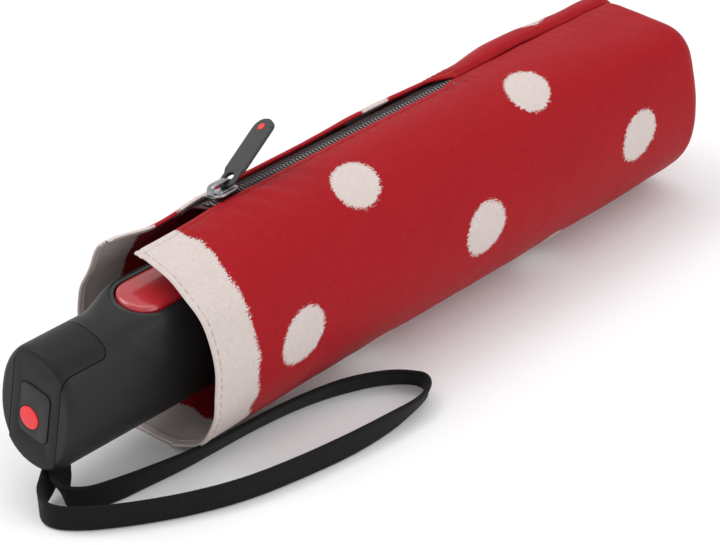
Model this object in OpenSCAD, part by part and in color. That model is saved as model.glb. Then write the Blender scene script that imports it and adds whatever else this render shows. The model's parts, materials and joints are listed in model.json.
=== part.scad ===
// Automatic folding pocket umbrella, pushed into its zip case and lying on its side.
// X runs from the handle's end to the case's closed end, Z is up, and the case rests on Z = 0.

/* [Overall] */
// Closed length, from the handle's end to the case's closed end
closed_length = 290; // [285:1:300]
// Outer radius of the round case
case_radius = 33; // [32:0.5:34]
// Height of the case's axis above the floor, a little less than its radius, so the case lies flat
case_axis_height = 32.6; // [32:0.1:32.8]
// Height of the umbrella's axis above the floor: it lies a little low inside the roomy case
axis_height = 31; // [30.5:0.1:31.5]

/* [Handle] */
// Length of the handle moulding
handle_length = 78; // [78:1:80]
// Height of the oval handle
handle_height = 42; // [40:1:44]
// Width of the oval handle
handle_width = 31.6; // [30:0.2:33]
// Turn of the umbrella about its own axis inside the case, in degrees
handle_roll = 10; // [0:1:20]
// Distance of the push button's centre from the handle's end
button_from_end = 48; // [47:1:49]
// Length of the push button
button_length = 27; // [25:1:27]
// Width of the push button
button_width = 15; // [13:1:15]

/* [Shaft] */
// Outer radius of the lower tube, the widest of the three
tube_radius = 7; // [6.8:0.1:7.2]
// Wall of each tube
tube_wall = 0.72; // [0.6:0.02:0.8]
// Running clearance between one tube and the next
tube_clearance = 0.08; // [0.05:0.01:0.1]

/* [Frame] */
// Width of a top rib's channel
rib_width = 4; // [3.6:0.1:4.2]
// Outer radius of the rolled canopy
canopy_radius = 26.5; // [25.5:0.1:26.6]

/* [Case] */
// Thickness of the padded case wall, cloth and lining together
case_wall = 1.5; // [1.2:0.1:1.6]
// Distance of the case's mouth from the handle's end
mouth_from_end = 47; // [46:1:48]
// Turn of the zip away from the top of the case, in degrees
zip_angle = 17; // [10:1:22]
// Width between the zip's edges at the mouth, where it is open
mouth_gap = 12; // [10:1:13]
// Length of the closed part of the zip
chain_length = 112; // [100:1:115]
// Length of the zip's pull tab
pull_length = 27; // [24:1:27]
// Angle of the pull tab above the zip, in degrees
pull_lift = 28; // [25:1:60]

/* [Wrist strap] */
// Width of the flat woven strap
strap_width = 8; // [7.5:0.1:8]
// Thickness of the strap
strap_thick = 1.6; // [1.2:0.1:1.8]

/* [Hidden] */
$fn = 64;
rib_count = 8;
function rib_names(stem) = [for (i = [1:rib_count]) str(stem, i)];

// Thickness of the slices that the handle's outer shape is drawn through
slice = 0.2;
// Long enough to cut right through any piece, and a little beyond a face that is cut
through = 100;
beyond = 1;
half_length = closed_length / 2;
badge_rise = 0.3;
// The handle's end lies a little inside the overall length, which the raised badge and its dot fill
end_x = -half_length + 2 * badge_rise;

// Handle
// Rounding of its end: distance from the end, and how far the oval is drawn in there
end_rounding = [[0, 4], [1, 1.8], [2.8, 0.5], [5.5, 0]];
shell_wall = 2.4;
front_x = end_x + handle_length;
front_wall = 4;
strip_half = 8.8;
strip_gap = 0.12;
tongue_length = 25;
tongue_corner = 3;
badge_size = [12, 18];
badge_corner = 2.4;
badge_thick = 1;
dot_radius = 4.7;
dot_drop = 4;
socket_radius = 9.6;
socket_end = end_x + 26;
tube_pin_x = socket_end - 6;

// Push button and its latch
button_x = end_x + button_from_end;
button_top = 23.2;
button_floor = 13.6;
cap_inside = 20.5;
skirt_bottom = 17;
skirt_wall = 1.5;
collar_rim = 1.6;
collar_gap = 0.25;
collar_top = 22.2;
collar_bottom = 12.8;
stem_radius = 2.4;
stem_tip_radius = 1;
stem_gap = 0.2;
spring_radius = 3.8;
spring_wire = 0.4;
spring_turns = 4;
lever_top = 12.6;
lever_thick = 1.8;
lever_width = 5;
latch_x = front_x - 11.5;
latch_pin_at = lever_top - lever_thick / 2;
pin_radius = 1.2;
pin_clearance = 0.05;
post_half = 2.3;
post_width = 10;
post_bottom = 7.6;
post_slot_top = 15;
lever_gap = 0.3;
lever_hub = 1.1;
hook_span = [4, 5.5];
hook_half = 1.5;

// Shaft: each tube runs inside the one before it
middle_radius = tube_radius - tube_wall - tube_clearance;
upper_radius = middle_radius - tube_wall - tube_clearance;
lower_span = [end_x + 8, 99];
middle_span = [-122, 103];
upper_span = [-120, 121];
bushing_length = 3;
main_spring_radius = 3.6;
main_spring_wire = 0.6;
main_spring_span = [-117, 95];
main_spring_turns = 18;

// Frame: radii are measured from the shaft's axis
crown_span = [107, 117];
crown_radius = 12.8;
cap_radius = 11.8;
cap_rim = 2;
cap_height = 7;
wire_radius = 0.5;
wire_depth = 3;
slot_play = 0.2;
runner_head = [-55, -49];
runner_sleeve = [-57, -43];
runner_radius = 9.2;
channel_wall = 0.5;
top_rib = [9.4, 12.6];
top_rib_span = [-47, 115];
middle_rib = [13.4, 16.4];
middle_rib_span = [-47, 99];
middle_rib_width = 3.4;
end_rib_at = 18.4;
end_rib_radius = 1.1;
end_rib_span = [-60, 99];
tip_radius = 1.8;
stretcher = [9.5, 10.7];
stretcher_eye = [9.5, 11.7];
eye_length = 4;
stretcher_width = 2.4;
stretcher_span = [-53, 27];
rivet_radius = 0.6;
rivet_clearance = 0.03;
crown_ring_at = 11;
runner_ring_at = 10.7;
knuckle_length = 6;
knuckle_cheek = 0.8;
rivet_hole = rivet_radius + rivet_clearance;
lower_rivet_x = top_rib_span[0] + knuckle_length / 2;
upper_rivet_x = middle_rib_span[1] - knuckle_length / 2;
top_rivet_at = 11.4;
middle_rivet_at = (middle_rib[0] + middle_rib[1]) / 2;
stretcher_at = (stretcher_eye[0] + stretcher_eye[1]) / 2;
stretcher_rivet_x = stretcher_span[1] - 1.5;
cup_radius = 22.6;
cup_length = 8;
cup_floor = 2;
canopy_inside = 21;
canopy_front = front_x + 10;
canopy_collar = 13;
tie_thick = 0.8;
snap_radius = 5;
snap_height = 1.6;
snap_angle = 60;

// Case
mouth_x = end_x + mouth_from_end;
mouth_seam_x = mouth_x + 39;
end_seam_x = half_length - 16;
end_corner = 8;
hem_length = 18;
hem_thick = 0.6;
tape_thick = 0.6;
tape_width = 8;
coil_radius = 0.8;
neck_half = 0.8;
neck_gap = neck_half + 0.4;
coil_offset = neck_gap + coil_radius;
cloth_setback = 2 * coil_radius + 0.4;
tape_radius = case_radius - case_wall - hem_thick;
coil_at = tape_radius + coil_radius + 0.12;
slit_x = mouth_seam_x + 1;
chain_end_x = slit_x + chain_length;
slot_half = coil_offset + coil_radius + 0.4;
stop_length = 3;

// Zip slider and pull, measured from the case's axis
slider_size = [14.5, 8];
slider_x = slit_x + 1;
slider_plates = [for (r = [-4.3, -3.4, 0.4, 1.6]) case_radius + r];
neck_span = [slider_x - slider_size[0] / 2 + 0.6, slider_x - slider_size[0] / 2 + 3];
bail_span = [slider_x - 5.6, slider_x + 5.6];
bail_half = 1.3;
bail_thick = 1;
bail_under = slider_plates[3] + 2.3;
pull_pin_at = [slider_x + 3.5, slider_plates[3] + 1.2];
pull_pin_radius = 0.8;
pull_eye = [0.8, 4.6];
pull_eye_half = 2;
eye_half_width = 3.5;
paddle_width = 8.5;
paddle_thick = 1.8;
paddle_from = pull_eye[1];
tape_from = slit_x - 5;
coil_from = slit_x - 4;

// The strap's centre line, from the handle round the loop and back: place, then the direction of its
// upper edge, which leans towards -Y along the inner leg
strap_route = [
    [-137.8, 1.4, 11.8, -1, 0, 0], [-138, 1.4, 9.8, -1, 0, 0.1], [-139.6, 0.8, 7.6, -0.9, 0, 0.5],
    [-143.2, -0.8, 5.8, -0.6, 0, 0.8], [-147.4, -3.2, 4.9, -0.3, 0, 1], [-150.8, -6.9, 4.5, 0, 0, 1],
    [-152, -11.5, 4.3, 0, 0, 1], [-149.5, -17, 4.3, 0, 0, 1], [-143, -23.5, 4.3, 0, 0, 1],
    [-131, -32, 4.3, 0, 0, 1], [-117.5, -39.4, 4.3, 0, 0, 1], [-102.5, -45.2, 4.3, 0, 0, 1],
    [-84.5, -49.2, 4.3, 0, 0, 1], [-65, -52, 4.3, 0, 0, 1], [-47.5, -52.8, 4.3, 0, -0.2, 1],
    [-35, -52, 4.2, 0, -0.5, 1], [-26.5, -49.4, 4.1, -0.2, -0.5, 1], [-22.4, -45, 4.1, -0.4, -0.4, 1],
    [-23.5, -39.8, 4.1, -0.4, -0.4, 1], [-30, -33.4, 4.1, -0.2, -0.5, 1], [-41.5, -27.8, 4.1, 0, -0.5, 1],
    [-55, -24.3, 4.1, 0, -0.55, 1], [-71, -22.2, 4, 0, -0.55, 1], [-87, -21.5, 4, 0, -0.55, 1],
    [-103, -20.6, 4.1, 0, -0.4, 1], [-119, -18.4, 4.2, 0, -0.2, 1], [-131, -16.2, 4.3, 0, 0, 1],
    [-138, -13.6, 4.3, 0, 0, 1], [-141.6, -10, 4.5, -0.1, 0, 1], [-142, -6.8, 5.2, -0.4, 0, 0.9],
    [-140.4, -4, 6.6, -0.8, 0, 0.5], [-138.4, -1.9, 8.4, -1, 0, 0.2], [-137.8, -1.4, 10, -1, 0, 0],
    [-137.8, -1.4, 11.8, -1, 0, 0]];
strap_from = strap_route[0];
anchor_bottom = 11.5;
anchor_top = 16;
slot_half_width = 3.4;
strap_steps = 2;

// ---------------------------------------------------------------- helpers

// The umbrella's own frame: its axis along X, turned about it inside the case
module in_umbrella() { translate([0, 0, axis_height]) rotate([handle_roll, 0, 0]) children(); }
// The zip's frame: Z points out of the case through the middle of the zip
module in_zip() { translate([0, 0, case_axis_height]) rotate([-zip_angle, 0, 0]) children(); }
// A profile of [radius, x] points, turned about X
module revolve(points, fine = 96) { rotate([0, 90, 0]) rotate_extrude($fn = fine) polygon(points); }
module tube(span, outer, inner) {
    revolve([[inner, span[0]], [outer, span[0]], [outer, span[1]], [inner, span[1]]]);
}
// A flat outline of [y, z] points, run along X
module along_x(from, to) {
    translate([from, 0, 0]) rotate([90, 0, 90]) linear_extrude(to - from) children();
}
// A box given by its lowest and highest corners
module block(low, high) { translate(low) cube(high - low); }
module cross_pin(x, z, radius, length) {
    translate([x, 0, z]) rotate([90, 0, 0]) cylinder(r = radius, h = length, center = true, $fn = 32);
}
// The push button's outline, widened by grow
module button_outline(grow) {
    width = button_width + 2 * grow;
    square([button_length - button_width, width], center = true);
    for (side = [-1, 1]) translate([side * (button_length - button_width) / 2, 0]) circle(d = width);
}
module rounded_plate(size, corner) {
    square([size[0] - 2 * corner, size[1]], center = true);
    square([size[0], size[1] - 2 * corner], center = true);
    for (x = [-1, 1], y = [-1, 1])
        translate([x * (size[0] / 2 - corner), y * (size[1] / 2 - corner)]) circle(corner, $fn = 32);
}
module around_ribs() { for (i = [0:rib_count - 1]) rotate([i * 360 / rib_count, 0, 0]) children(); }

// A section swept along a path: each ring is turned so that its first axis follows its "up" direction
function unit(v) = v / norm(v);
function tangent(path, i) = unit(path[min(i + 1, len(path) - 1)] - path[max(i - 1, 0)]);
function across(up, along) = unit(up - (up * along) * along);
function ring(centre, along, up, section) =
    let (u = across(up, along), v = cross(along, u)) [for (p = section) centre + p[0] * u + p[1] * v];
module sweep(path, ups, section) {
    n = len(section);
    last = len(path) - 1;
    points = [for (i = [0:last]) each ring(path[i], tangent(path, i), ups[i], section)];
    walls = [for (i = [0:last - 1], j = [0:n - 1])
        let (a = i * n + j, b = i * n + (j + 1) % n)
        each [[a, b, b + n], [a, b + n, a + n]]];
    caps = [[for (j = [0:n - 1]) n - 1 - j], [for (j = [0:n - 1]) last * n + j]];
    polyhedron(points, concat(walls, caps), convexity = 6);
}
function round_section(radius, sides) =
    [for (i = [0:sides - 1]) [radius * cos(360 * i / sides), radius * sin(360 * i / sides)]];
// A smooth curve through route points, of any number of components
function curve_at(a, b, c, d, t) =
    0.5 * (2 * b + (c - a) * t + (2 * a - 5 * b + 4 * c - d) * t * t + (3 * b - a - 3 * c + d) * t * t * t);
function smooth(route, steps) =
    let (last = len(route) - 1)
    [for (i = [0:last - 1], s = [0:steps - 1])
        curve_at(route[max(i - 1, 0)], route[i], route[i + 1], route[min(i + 2, last)], s / steps),
     route[last]];
module coil_spring(radius, wire, low, high, turns, per_turn) {
    path = [for (i = [0:turns * per_turn])
        let (a = 360 * i / per_turn)
        [radius * cos(a), radius * sin(a), low + wire + (high - low - 2 * wire) * i / (turns * per_turn)]];
    ups = [for (p = path) [p[0], p[1], 0]];
    sweep(path, ups, round_section(wire, 6));
}

// ---------------------------------------------------------------- handle

// Oval with slightly flattened long sides
function oval(half_w, half_h, power = 2.25, count = 56) =
    [for (i = [0:count - 1])
        let (c = cos(360 * i / count), s = sin(360 * i / count))
        [sign(c) * half_w * pow(abs(c), 2 / power), sign(s) * half_h * pow(abs(s), 2 / power)]];
module handle_slice(x, inset) {
    along_x(x, x + slice) polygon(oval(handle_width / 2 - inset, handle_height / 2 - inset));
}
module handle_outer() {
    hull() {
        for (step = end_rounding) handle_slice(end_x + step[0], step[1]);
        handle_slice(front_x - slice, 0);
    }
}
// The strip over the end and along the top; grow widens it for the gap around it
module strip_zone(grow) {
    half = strip_half + grow;
    block([end_x - beyond, -half, -handle_height], [end_x + shell_wall + grow, half, handle_height]);
    translate([0, 0, handle_height / 2 - shell_wall - grow]) linear_extrude(shell_wall * 2)
        translate([end_x + tongue_length / 2 - 2 * beyond, 0])
            rounded_plate([tongue_length + 4 * beyond + 2 * grow, 2 * half], tongue_corner);
}
module strap_slot(grow) {
    half = [strap_width / 2 + 0.2 + grow, slot_half_width + grow];
    block([strap_from[0] - half[0], -half[1], axis_height - handle_height / 2 - 3],
          [strap_from[0] + half[0], half[1], anchor_top + grow]);
}
module handle_shell() {
    color([0.16, 0.16, 0.17]) difference() {
        in_umbrella() difference() {
            handle_outer();
            strip_zone(strip_gap);
            difference() {
                along_x(end_x + 2 * shell_wall, front_x - front_wall)
                    polygon(oval(handle_width / 2 - shell_wall, handle_height / 2 - shell_wall));
                // Socket for the lower tube, and the two posts that carry the latch's pin
                tube([end_x, socket_end], socket_radius, 0);
                difference() {
                    block([latch_x - post_half, -post_width / 2, post_bottom],
                          [latch_x + post_half, post_width / 2, handle_height / 2]);
                    block([latch_x - through, -lever_width / 2 - lever_gap, 0],
                          [latch_x + through, lever_width / 2 + lever_gap, post_slot_top]);
                }
            }
            tube([lower_span[0], front_x + beyond], tube_radius, 0);
            cross_pin(tube_pin_x, 0, pin_radius, 2 * socket_radius + beyond);
            cross_pin(latch_x, latch_pin_at, pin_radius, post_width + 0.4);
            translate([button_x, 0, collar_bottom]) linear_extrude(through)
                button_outline(collar_gap + collar_rim);
        }
        strap_slot(0);
    }
}
module end_strip() {
    color([0.11, 0.11, 0.12]) difference() {
        in_umbrella() difference() {
            intersection() { handle_outer(); strip_zone(0); }
            along_x(end_x - beyond, end_x + badge_thick - badge_rise)
                translate([0, badge_rise]) rounded_plate(badge_size, badge_corner);
        }
        strap_slot(0.1);
    }
}
module badge_plate() {
    color([0.13, 0.13, 0.14]) in_umbrella() difference() {
        along_x(end_x - badge_rise, end_x + badge_thick - badge_rise)
            translate([0, badge_rise]) rounded_plate(badge_size, badge_corner);
        along_x(end_x - beyond, end_x) translate([0, badge_rise - dot_drop]) circle(dot_radius);
    }
}
module badge_dot() {
    color([0.85, 0.08, 0.1]) in_umbrella()
        along_x(end_x - 2 * badge_rise, end_x) translate([0, badge_rise - dot_drop]) circle(dot_radius);
}
module button_collar() {
    color([0.05, 0.05, 0.055]) in_umbrella() translate([button_x, 0, 0]) difference() {
        translate([0, 0, collar_bottom]) linear_extrude(collar_top - collar_bottom)
            button_outline(collar_gap + collar_rim);
        translate([0, 0, button_floor]) linear_extrude(collar_top) button_outline(collar_gap);
        cylinder(r = stem_radius + 0.3, h = through);
    }
}
module push_button() {
    color([0.75, 0.03, 0.06]) in_umbrella() translate([button_x, 0, 0]) {
        difference() {
            translate([0, 0, skirt_bottom]) linear_extrude(button_top - skirt_bottom) button_outline(0);
            translate([0, 0, skirt_bottom - beyond]) linear_extrude(cap_inside - skirt_bottom + beyond)
                button_outline(-skirt_wall);
        }
        translate([0, 0, button_floor + 0.6]) cylinder(r = stem_radius, h = cap_inside - button_floor);
        translate([0, 0, lever_top + stem_gap])
            cylinder(r = stem_tip_radius, h = button_floor - lever_top + 1);
    }
}
module button_spring() {
    color([0.7, 0.7, 0.72]) in_umbrella() translate([button_x, 0, 0])
        coil_spring(spring_radius, spring_wire, button_floor, cap_inside, spring_turns, 12);
}
module latch_lever() {
    color([0.62, 0.62, 0.65]) in_umbrella() difference() {
        union() {
            block([button_x - 2, -lever_width / 2, lever_top - lever_thick],
                  [latch_x + hook_span[1] + 1, lever_width / 2, lever_top]);
            cross_pin(latch_x, latch_pin_at, pin_radius + lever_hub, lever_width);
            block([latch_x + hook_span[0], -hook_half, tube_radius - 0.4],
                  [latch_x + hook_span[1], hook_half, lever_top]);
        }
        cross_pin(latch_x, latch_pin_at, pin_radius + pin_clearance, lever_width + beyond);
    }
}
module latch_pin() {
    color([0.75, 0.75, 0.77]) in_umbrella()
        cross_pin(latch_x, latch_pin_at, pin_radius, post_width);
}
module tube_pin() {
    color([0.75, 0.75, 0.77]) in_umbrella()
        cross_pin(tube_pin_x, 0, pin_radius, 2 * socket_radius - 1);
}
module strap_anchor() {
    color([0.09, 0.09, 0.1]) intersection() {
        strap_slot(0);
        block([end_x, -slot_half_width, anchor_bottom], [0, slot_half_width, anchor_top]);
    }
}
module wrist_strap() {
    w = strap_width / 2;
    t = strap_thick / 2;
    section = [[w, -t / 2], [w, t / 2], [0.85 * w, t], [-0.85 * w, t],
               [-w, t / 2], [-w, -t / 2], [-0.85 * w, -t], [0.85 * w, -t]];
    rows = smooth(strap_route, strap_steps);
    color([0.06, 0.06, 0.065])
        sweep([for (p = rows) [p[0], p[1], p[2]]], [for (p = rows) [p[3], p[4], p[5]]], section);
}
// The round cup at the handle's front shelters the rib tips
module rib_tip_cup() {
    groove_half = tip_radius + 0.8;
    color([0.1, 0.1, 0.11]) in_umbrella() difference() {
        tube([front_x, front_x + cup_length], cup_radius, tube_radius);
        tube([front_x + cup_floor, front_x + cup_length + beyond],
             end_rib_at + groove_half, end_rib_at - groove_half);
    }
}

// ---------------------------------------------------------------- shaft

module steel_tube(span, radius) {
    color([0.72, 0.73, 0.75]) in_umbrella() tube(span, radius, radius - tube_wall);
}
module lower_tube() {
    color([0.72, 0.73, 0.75]) in_umbrella() difference() {
        tube(lower_span, tube_radius, tube_radius - tube_wall);
        cross_pin(tube_pin_x, 0, pin_radius, through);
        block([latch_x + hook_span[0] - 1.5, -hook_half - 0.7, 0],
              [latch_x + hook_span[1] + 2, hook_half + 0.7, through]);
    }
}
// A plastic bushing, flush with the lower tube, so that the runner can pass over it
module lower_tube_ring() {
    color([0.08, 0.08, 0.085]) in_umbrella()
        tube([lower_span[1], lower_span[1] + bushing_length], tube_radius, tube_radius - tube_wall);
}
module middle_tube() { steel_tube(middle_span, middle_radius); }
module upper_tube() { steel_tube(upper_span, upper_radius); }
module main_spring() {
    color([0.6, 0.6, 0.62]) in_umbrella() rotate([0, 90, 0])
        coil_spring(main_spring_radius, main_spring_wire, main_spring_span[0], main_spring_span[1],
                    main_spring_turns, 10);
}

// ---------------------------------------------------------------- frame of ribs

// Groove for a wire ring, open at the face that starts at x
module wire_groove(x, at) {
    half = wire_radius + 0.2;
    tube([x - beyond, x + wire_depth + half], at + half, at - half);
}
module crown() {
    color([0.08, 0.08, 0.085]) in_umbrella() difference() {
        tube(crown_span, crown_radius, upper_radius);
        around_ribs() block([crown_span[0] - beyond, -rib_width / 2 - slot_play, top_rib[0] - slot_play],
                            [top_rib_span[1] + 0.4, rib_width / 2 + slot_play, through]);
        wire_groove(crown_span[0], crown_ring_at);
    }
}
module wire_ring(x, at) {
    color([0.75, 0.75, 0.77]) in_umbrella() translate([x, 0, 0]) rotate([0, 90, 0])
        rotate_extrude($fn = 96) translate([at, 0]) circle(wire_radius, $fn = 24);
}
module crown_wire() { wire_ring(crown_span[0] + wire_depth, crown_ring_at); }
module runner_wire() { wire_ring(runner_head[0] + wire_depth, runner_ring_at); }
module crown_cap() {
    base = crown_span[1] + 1.7;
    dome = [for (a = [0:10:90]) [cap_radius * cos(a), base + cap_rim + cap_height * sin(a)]];
    color([0.1, 0.1, 0.11]) in_umbrella() difference() {
        revolve(concat([[0, base], [cap_radius, base]], dome));
        tube([base - beyond, upper_span[1]], upper_radius, 0);
    }
}
module runner() {
    color([0.08, 0.08, 0.085]) in_umbrella() difference() {
        union() {
            tube(runner_sleeve, runner_radius, tube_radius + tube_clearance);
            tube(runner_head, crown_radius, tube_radius + tube_clearance);
        }
        around_ribs() block([runner_head[0] - beyond, -stretcher_width / 2 - slot_play, runner_radius],
                            [runner_head[1] + beyond, stretcher_width / 2 + slot_play, through]);
        wire_groove(runner_head[0], runner_ring_at);
    }
}
// A channel open towards the shaft; holes gives each cross hole as [x, distance from the axis, radius]
module channel(span, low, high, width, holes) {
    difference() {
        block([span[0], -width / 2, low], [span[1], width / 2, high]);
        block([span[0] - beyond, -width / 2 + channel_wall, low - beyond],
              [span[1] + beyond, width / 2 - channel_wall, high - channel_wall]);
        for (h = holes) cross_pin(h[0], h[1], h[2], width + beyond);
    }
}
module top_rib_at(i) {
    color([0.66, 0.67, 0.7]) in_umbrella() rotate([(i - 1) * 360 / rib_count, 0, 0])
        channel(top_rib_span, top_rib[0], top_rib[1], rib_width,
                [[lower_rivet_x, top_rivet_at, rivet_hole], [stretcher_rivet_x, stretcher_at, rivet_hole],
                 [crown_span[0] + wire_depth, crown_ring_at, wire_radius + 0.25]]);
}
module middle_rib_at(i) {
    holes = [for (x = [lower_rivet_x, upper_rivet_x]) [x, middle_rivet_at, rivet_hole]];
    color([0.6, 0.61, 0.64]) in_umbrella() rotate([(i - 1) * 360 / rib_count, 0, 0])
        channel(middle_rib_span, middle_rib[0], middle_rib[1], middle_rib_width, holes);
}
module end_ribs() {
    color([0.5, 0.51, 0.54]) in_umbrella() around_ribs() difference() {
        translate([end_rib_span[0], 0, end_rib_at]) rotate([0, 90, 0])
            cylinder(r = end_rib_radius, h = end_rib_span[1] - end_rib_span[0], $fn = 24);
        cross_pin(upper_rivet_x, end_rib_at, rivet_hole, 6);
    }
}
// Each tip is a blunt cap on the end of its rib
module rib_tips() {
    profile = [[0, -2.4], [tip_radius - 0.6, -2.4], [tip_radius, -1.6], [tip_radius, 1.2],
               [end_rib_radius, 1.2], [end_rib_radius, 0], [0, 0]];
    color([0.08, 0.08, 0.085]) in_umbrella() around_ribs()
        translate([end_rib_span[0], 0, end_rib_at]) revolve(profile, 32);
}
// Each stretcher has a deeper eye at both ends
module stretchers() {
    half = stretcher_width / 2;
    color([0.68, 0.69, 0.72]) in_umbrella() around_ribs() difference() {
        union() {
            block([stretcher_span[0], -half, stretcher[0]], [stretcher_span[1], half, stretcher[1]]);
            for (x = [stretcher_span[0], stretcher_span[1] - eye_length])
                block([x, -half, stretcher_eye[0]], [x + eye_length, half, stretcher_eye[1]]);
        }
        cross_pin(runner_head[0] + wire_depth, runner_ring_at, wire_radius + 0.25, rib_width);
        cross_pin(stretcher_rivet_x, stretcher_at, rivet_hole, rib_width);
    }
}
// Each knuckle holds the ends of two ribs between its cheeks
module knuckle(x, low, high, outer) {
    difference() {
        block([x - knuckle_length / 2, -outer / 2, low], [x + knuckle_length / 2, outer / 2, high]);
        block([x - knuckle_length, -outer / 2 + knuckle_cheek, low - 1],
              [x + knuckle_length, outer / 2 - knuckle_cheek, high + 1]);
    }
}
module rib_knuckles() {
    wide = rib_width + 0.2 + 2 * knuckle_cheek;
    color([0.1, 0.1, 0.11]) in_umbrella() around_ribs() {
        difference() {
            union() {
                knuckle(lower_rivet_x, top_rib[0] + 0.4, middle_rib[1] - 0.4, wide);
                block([lower_rivet_x - 2, -wide / 2, top_rib[1] + 0.1],
                      [lower_rivet_x + 2, wide / 2, middle_rib[0] - 0.1]);
            }
            for (z = [top_rivet_at, middle_rivet_at]) cross_pin(lower_rivet_x, z, rivet_hole, 8);
        }
        difference() {
            union() {
                knuckle(upper_rivet_x, middle_rib[0] + 0.4, end_rib_at + 1, wide);
                block([upper_rivet_x - 2, -wide / 2, middle_rib[1] + 0.1],
                      [upper_rivet_x + 2, wide / 2, end_rib_at - end_rib_radius - 0.1]);
            }
            for (z = [middle_rivet_at, end_rib_at]) cross_pin(upper_rivet_x, z, rivet_hole, 8);
        }
    }
}
module rib_rivets() {
    color([0.78, 0.78, 0.8]) in_umbrella() around_ribs() {
        for (z = [top_rivet_at, middle_rivet_at]) cross_pin(lower_rivet_x, z, rivet_radius, 6);
        for (z = [middle_rivet_at, end_rib_at]) cross_pin(upper_rivet_x, z, rivet_radius, 6);
        cross_pin(stretcher_rivet_x, stretcher_at, rivet_radius, rib_width);
    }
}

// ---------------------------------------------------------------- canopy

module folded_canopy() {
    top = crown_span[1];
    color([0.7, 0.12, 0.15]) in_umbrella() revolve([
        [canopy_inside, canopy_front + 1], [canopy_radius - 1.5, canopy_front],
        [canopy_radius, canopy_front + 3], [canopy_radius, top - 24], [canopy_radius - 4, top - 9],
        [canopy_collar + 2, top], [canopy_collar - 1, top + 1.6], [upper_radius + 0.1, top + 1.6],
        [upper_radius + 0.1, top + 0.1], [canopy_collar, top + 0.1], [canopy_collar, top - 1],
        [canopy_inside, top - 14]]);
}
module canopy_tie() {
    color([0.62, 0.1, 0.13]) in_umbrella()
        tube([canopy_front + 10, canopy_front + 26], canopy_radius + tie_thick, canopy_radius);
}
module tie_snap() {
    color([0.75, 0.75, 0.77]) in_umbrella() rotate([snap_angle, 0, 0])
        translate([canopy_front + 18, 0, canopy_radius + tie_thick])
            cylinder(r = snap_radius, h = snap_height, $fn = 48);
}

// ---------------------------------------------------------------- case

// The round pouch with its flat underside; inset gives the surface that lies inside it by that much
module pouch(inset, from) {
    radius = case_radius - inset;
    corner = end_corner - inset;
    end = half_length - inset;
    rounded_end = [for (a = [0:9:90]) [radius - corner * (1 - cos(a)), end - corner * (1 - sin(a))]];
    intersection() {
        translate([0, 0, case_axis_height])
            revolve(concat([[0, from], [radius, from]], rounded_end, [[0, end]]));
        block([from - beyond, -case_radius, inset], [end + beyond, case_radius, 3 * case_radius]);
    }
}
// The gap between the zip's two edges, widened by grow: open at the mouth, straight along the chain
module zip_gap(grow) {
    wide = mouth_gap / 2 + grow;
    slope = (mouth_gap / 2 - neck_gap) / (slit_x - mouth_x);
    narrow = neck_gap + grow;
    in_zip() linear_extrude(through) polygon([
        [mouth_x - 2, -wide - 2 * slope], [slit_x, -narrow], [chain_end_x + stop_length + 1, -narrow],
        [chain_end_x + stop_length + 1, narrow], [slit_x, narrow], [mouth_x - 2, wide + 2 * slope]]);
}
module case_part(from, to) {
    color([0.66, 0.12, 0.16]) intersection() {
        difference() {
            pouch(0, mouth_x);
            pouch(case_wall, mouth_x - beyond);
            zip_gap(cloth_setback);
        }
        block([from, -2 * case_radius, -beyond], [to, 2 * case_radius, 3 * case_radius]);
    }
}
module case_mouth() { case_part(mouth_x, mouth_seam_x); }
module case_body() { case_part(mouth_seam_x, end_seam_x); }
module case_end() { case_part(end_seam_x, half_length); }
module mouth_hem() {
    color([0.55, 0.5, 0.46]) difference() {
        pouch(case_wall, mouth_x);
        pouch(case_wall + hem_thick, mouth_x - beyond);
        zip_gap(cloth_setback);
        block([mouth_x + hem_length, -through, -through], [closed_length, through, 2 * through]);
    }
}
module zip_tape(side) {
    color([0.35, 0.05, 0.07]) intersection() {
        difference() {
            in_zip() tube([tape_from, chain_end_x + stop_length],
                          tape_radius, tape_radius - tape_thick);
            zip_gap(0);
        }
        zip_gap(tape_width);
        in_zip() block([mouth_x, min(0, side * through), 0],
                       [half_length, max(0, side * through), through]);
    }
}
function coil_point(x, y) = [x, y, sqrt(coil_at * coil_at - y * y)];
module zip_coil(side) {
    path = [coil_point(coil_from, side * coil_offset), coil_point(chain_end_x, side * coil_offset)];
    color([0.22, 0.22, 0.23]) in_zip()
        sweep(path, [for (p = path) [0, 0, 1]], round_section(coil_radius, 12));
}
module zip_stops() {
    color([0.5, 0.5, 0.52]) in_zip()
        block([chain_end_x, -slot_half + 0.3, tape_radius + 0.05],
              [chain_end_x + stop_length, slot_half - 0.3, coil_at + coil_radius]);
}
module zip_slider() {
    p = slider_plates;
    color([0.3, 0.3, 0.31]) in_zip() {
        for (level = [[p[0], p[1]], [p[2], p[3]]])
            translate([slider_x, 0, level[0]]) linear_extrude(level[1] - level[0])
                rounded_plate(slider_size, 2);
        block([neck_span[0], -neck_half, p[0] + 0.2], [neck_span[1], neck_half, p[3] - 0.2]);
        difference() {
            block([bail_span[0], -bail_half, p[3] - 0.2], [bail_span[1], bail_half, bail_under + bail_thick]);
            block([bail_span[0] + bail_thick, -through, 0], [bail_span[1] - bail_thick, through, bail_under]);
        }
    }
}
module on_pull() {
    in_zip() translate([pull_pin_at[0], 0, pull_pin_at[1]]) rotate([0, -pull_lift, 0]) children();
}
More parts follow.
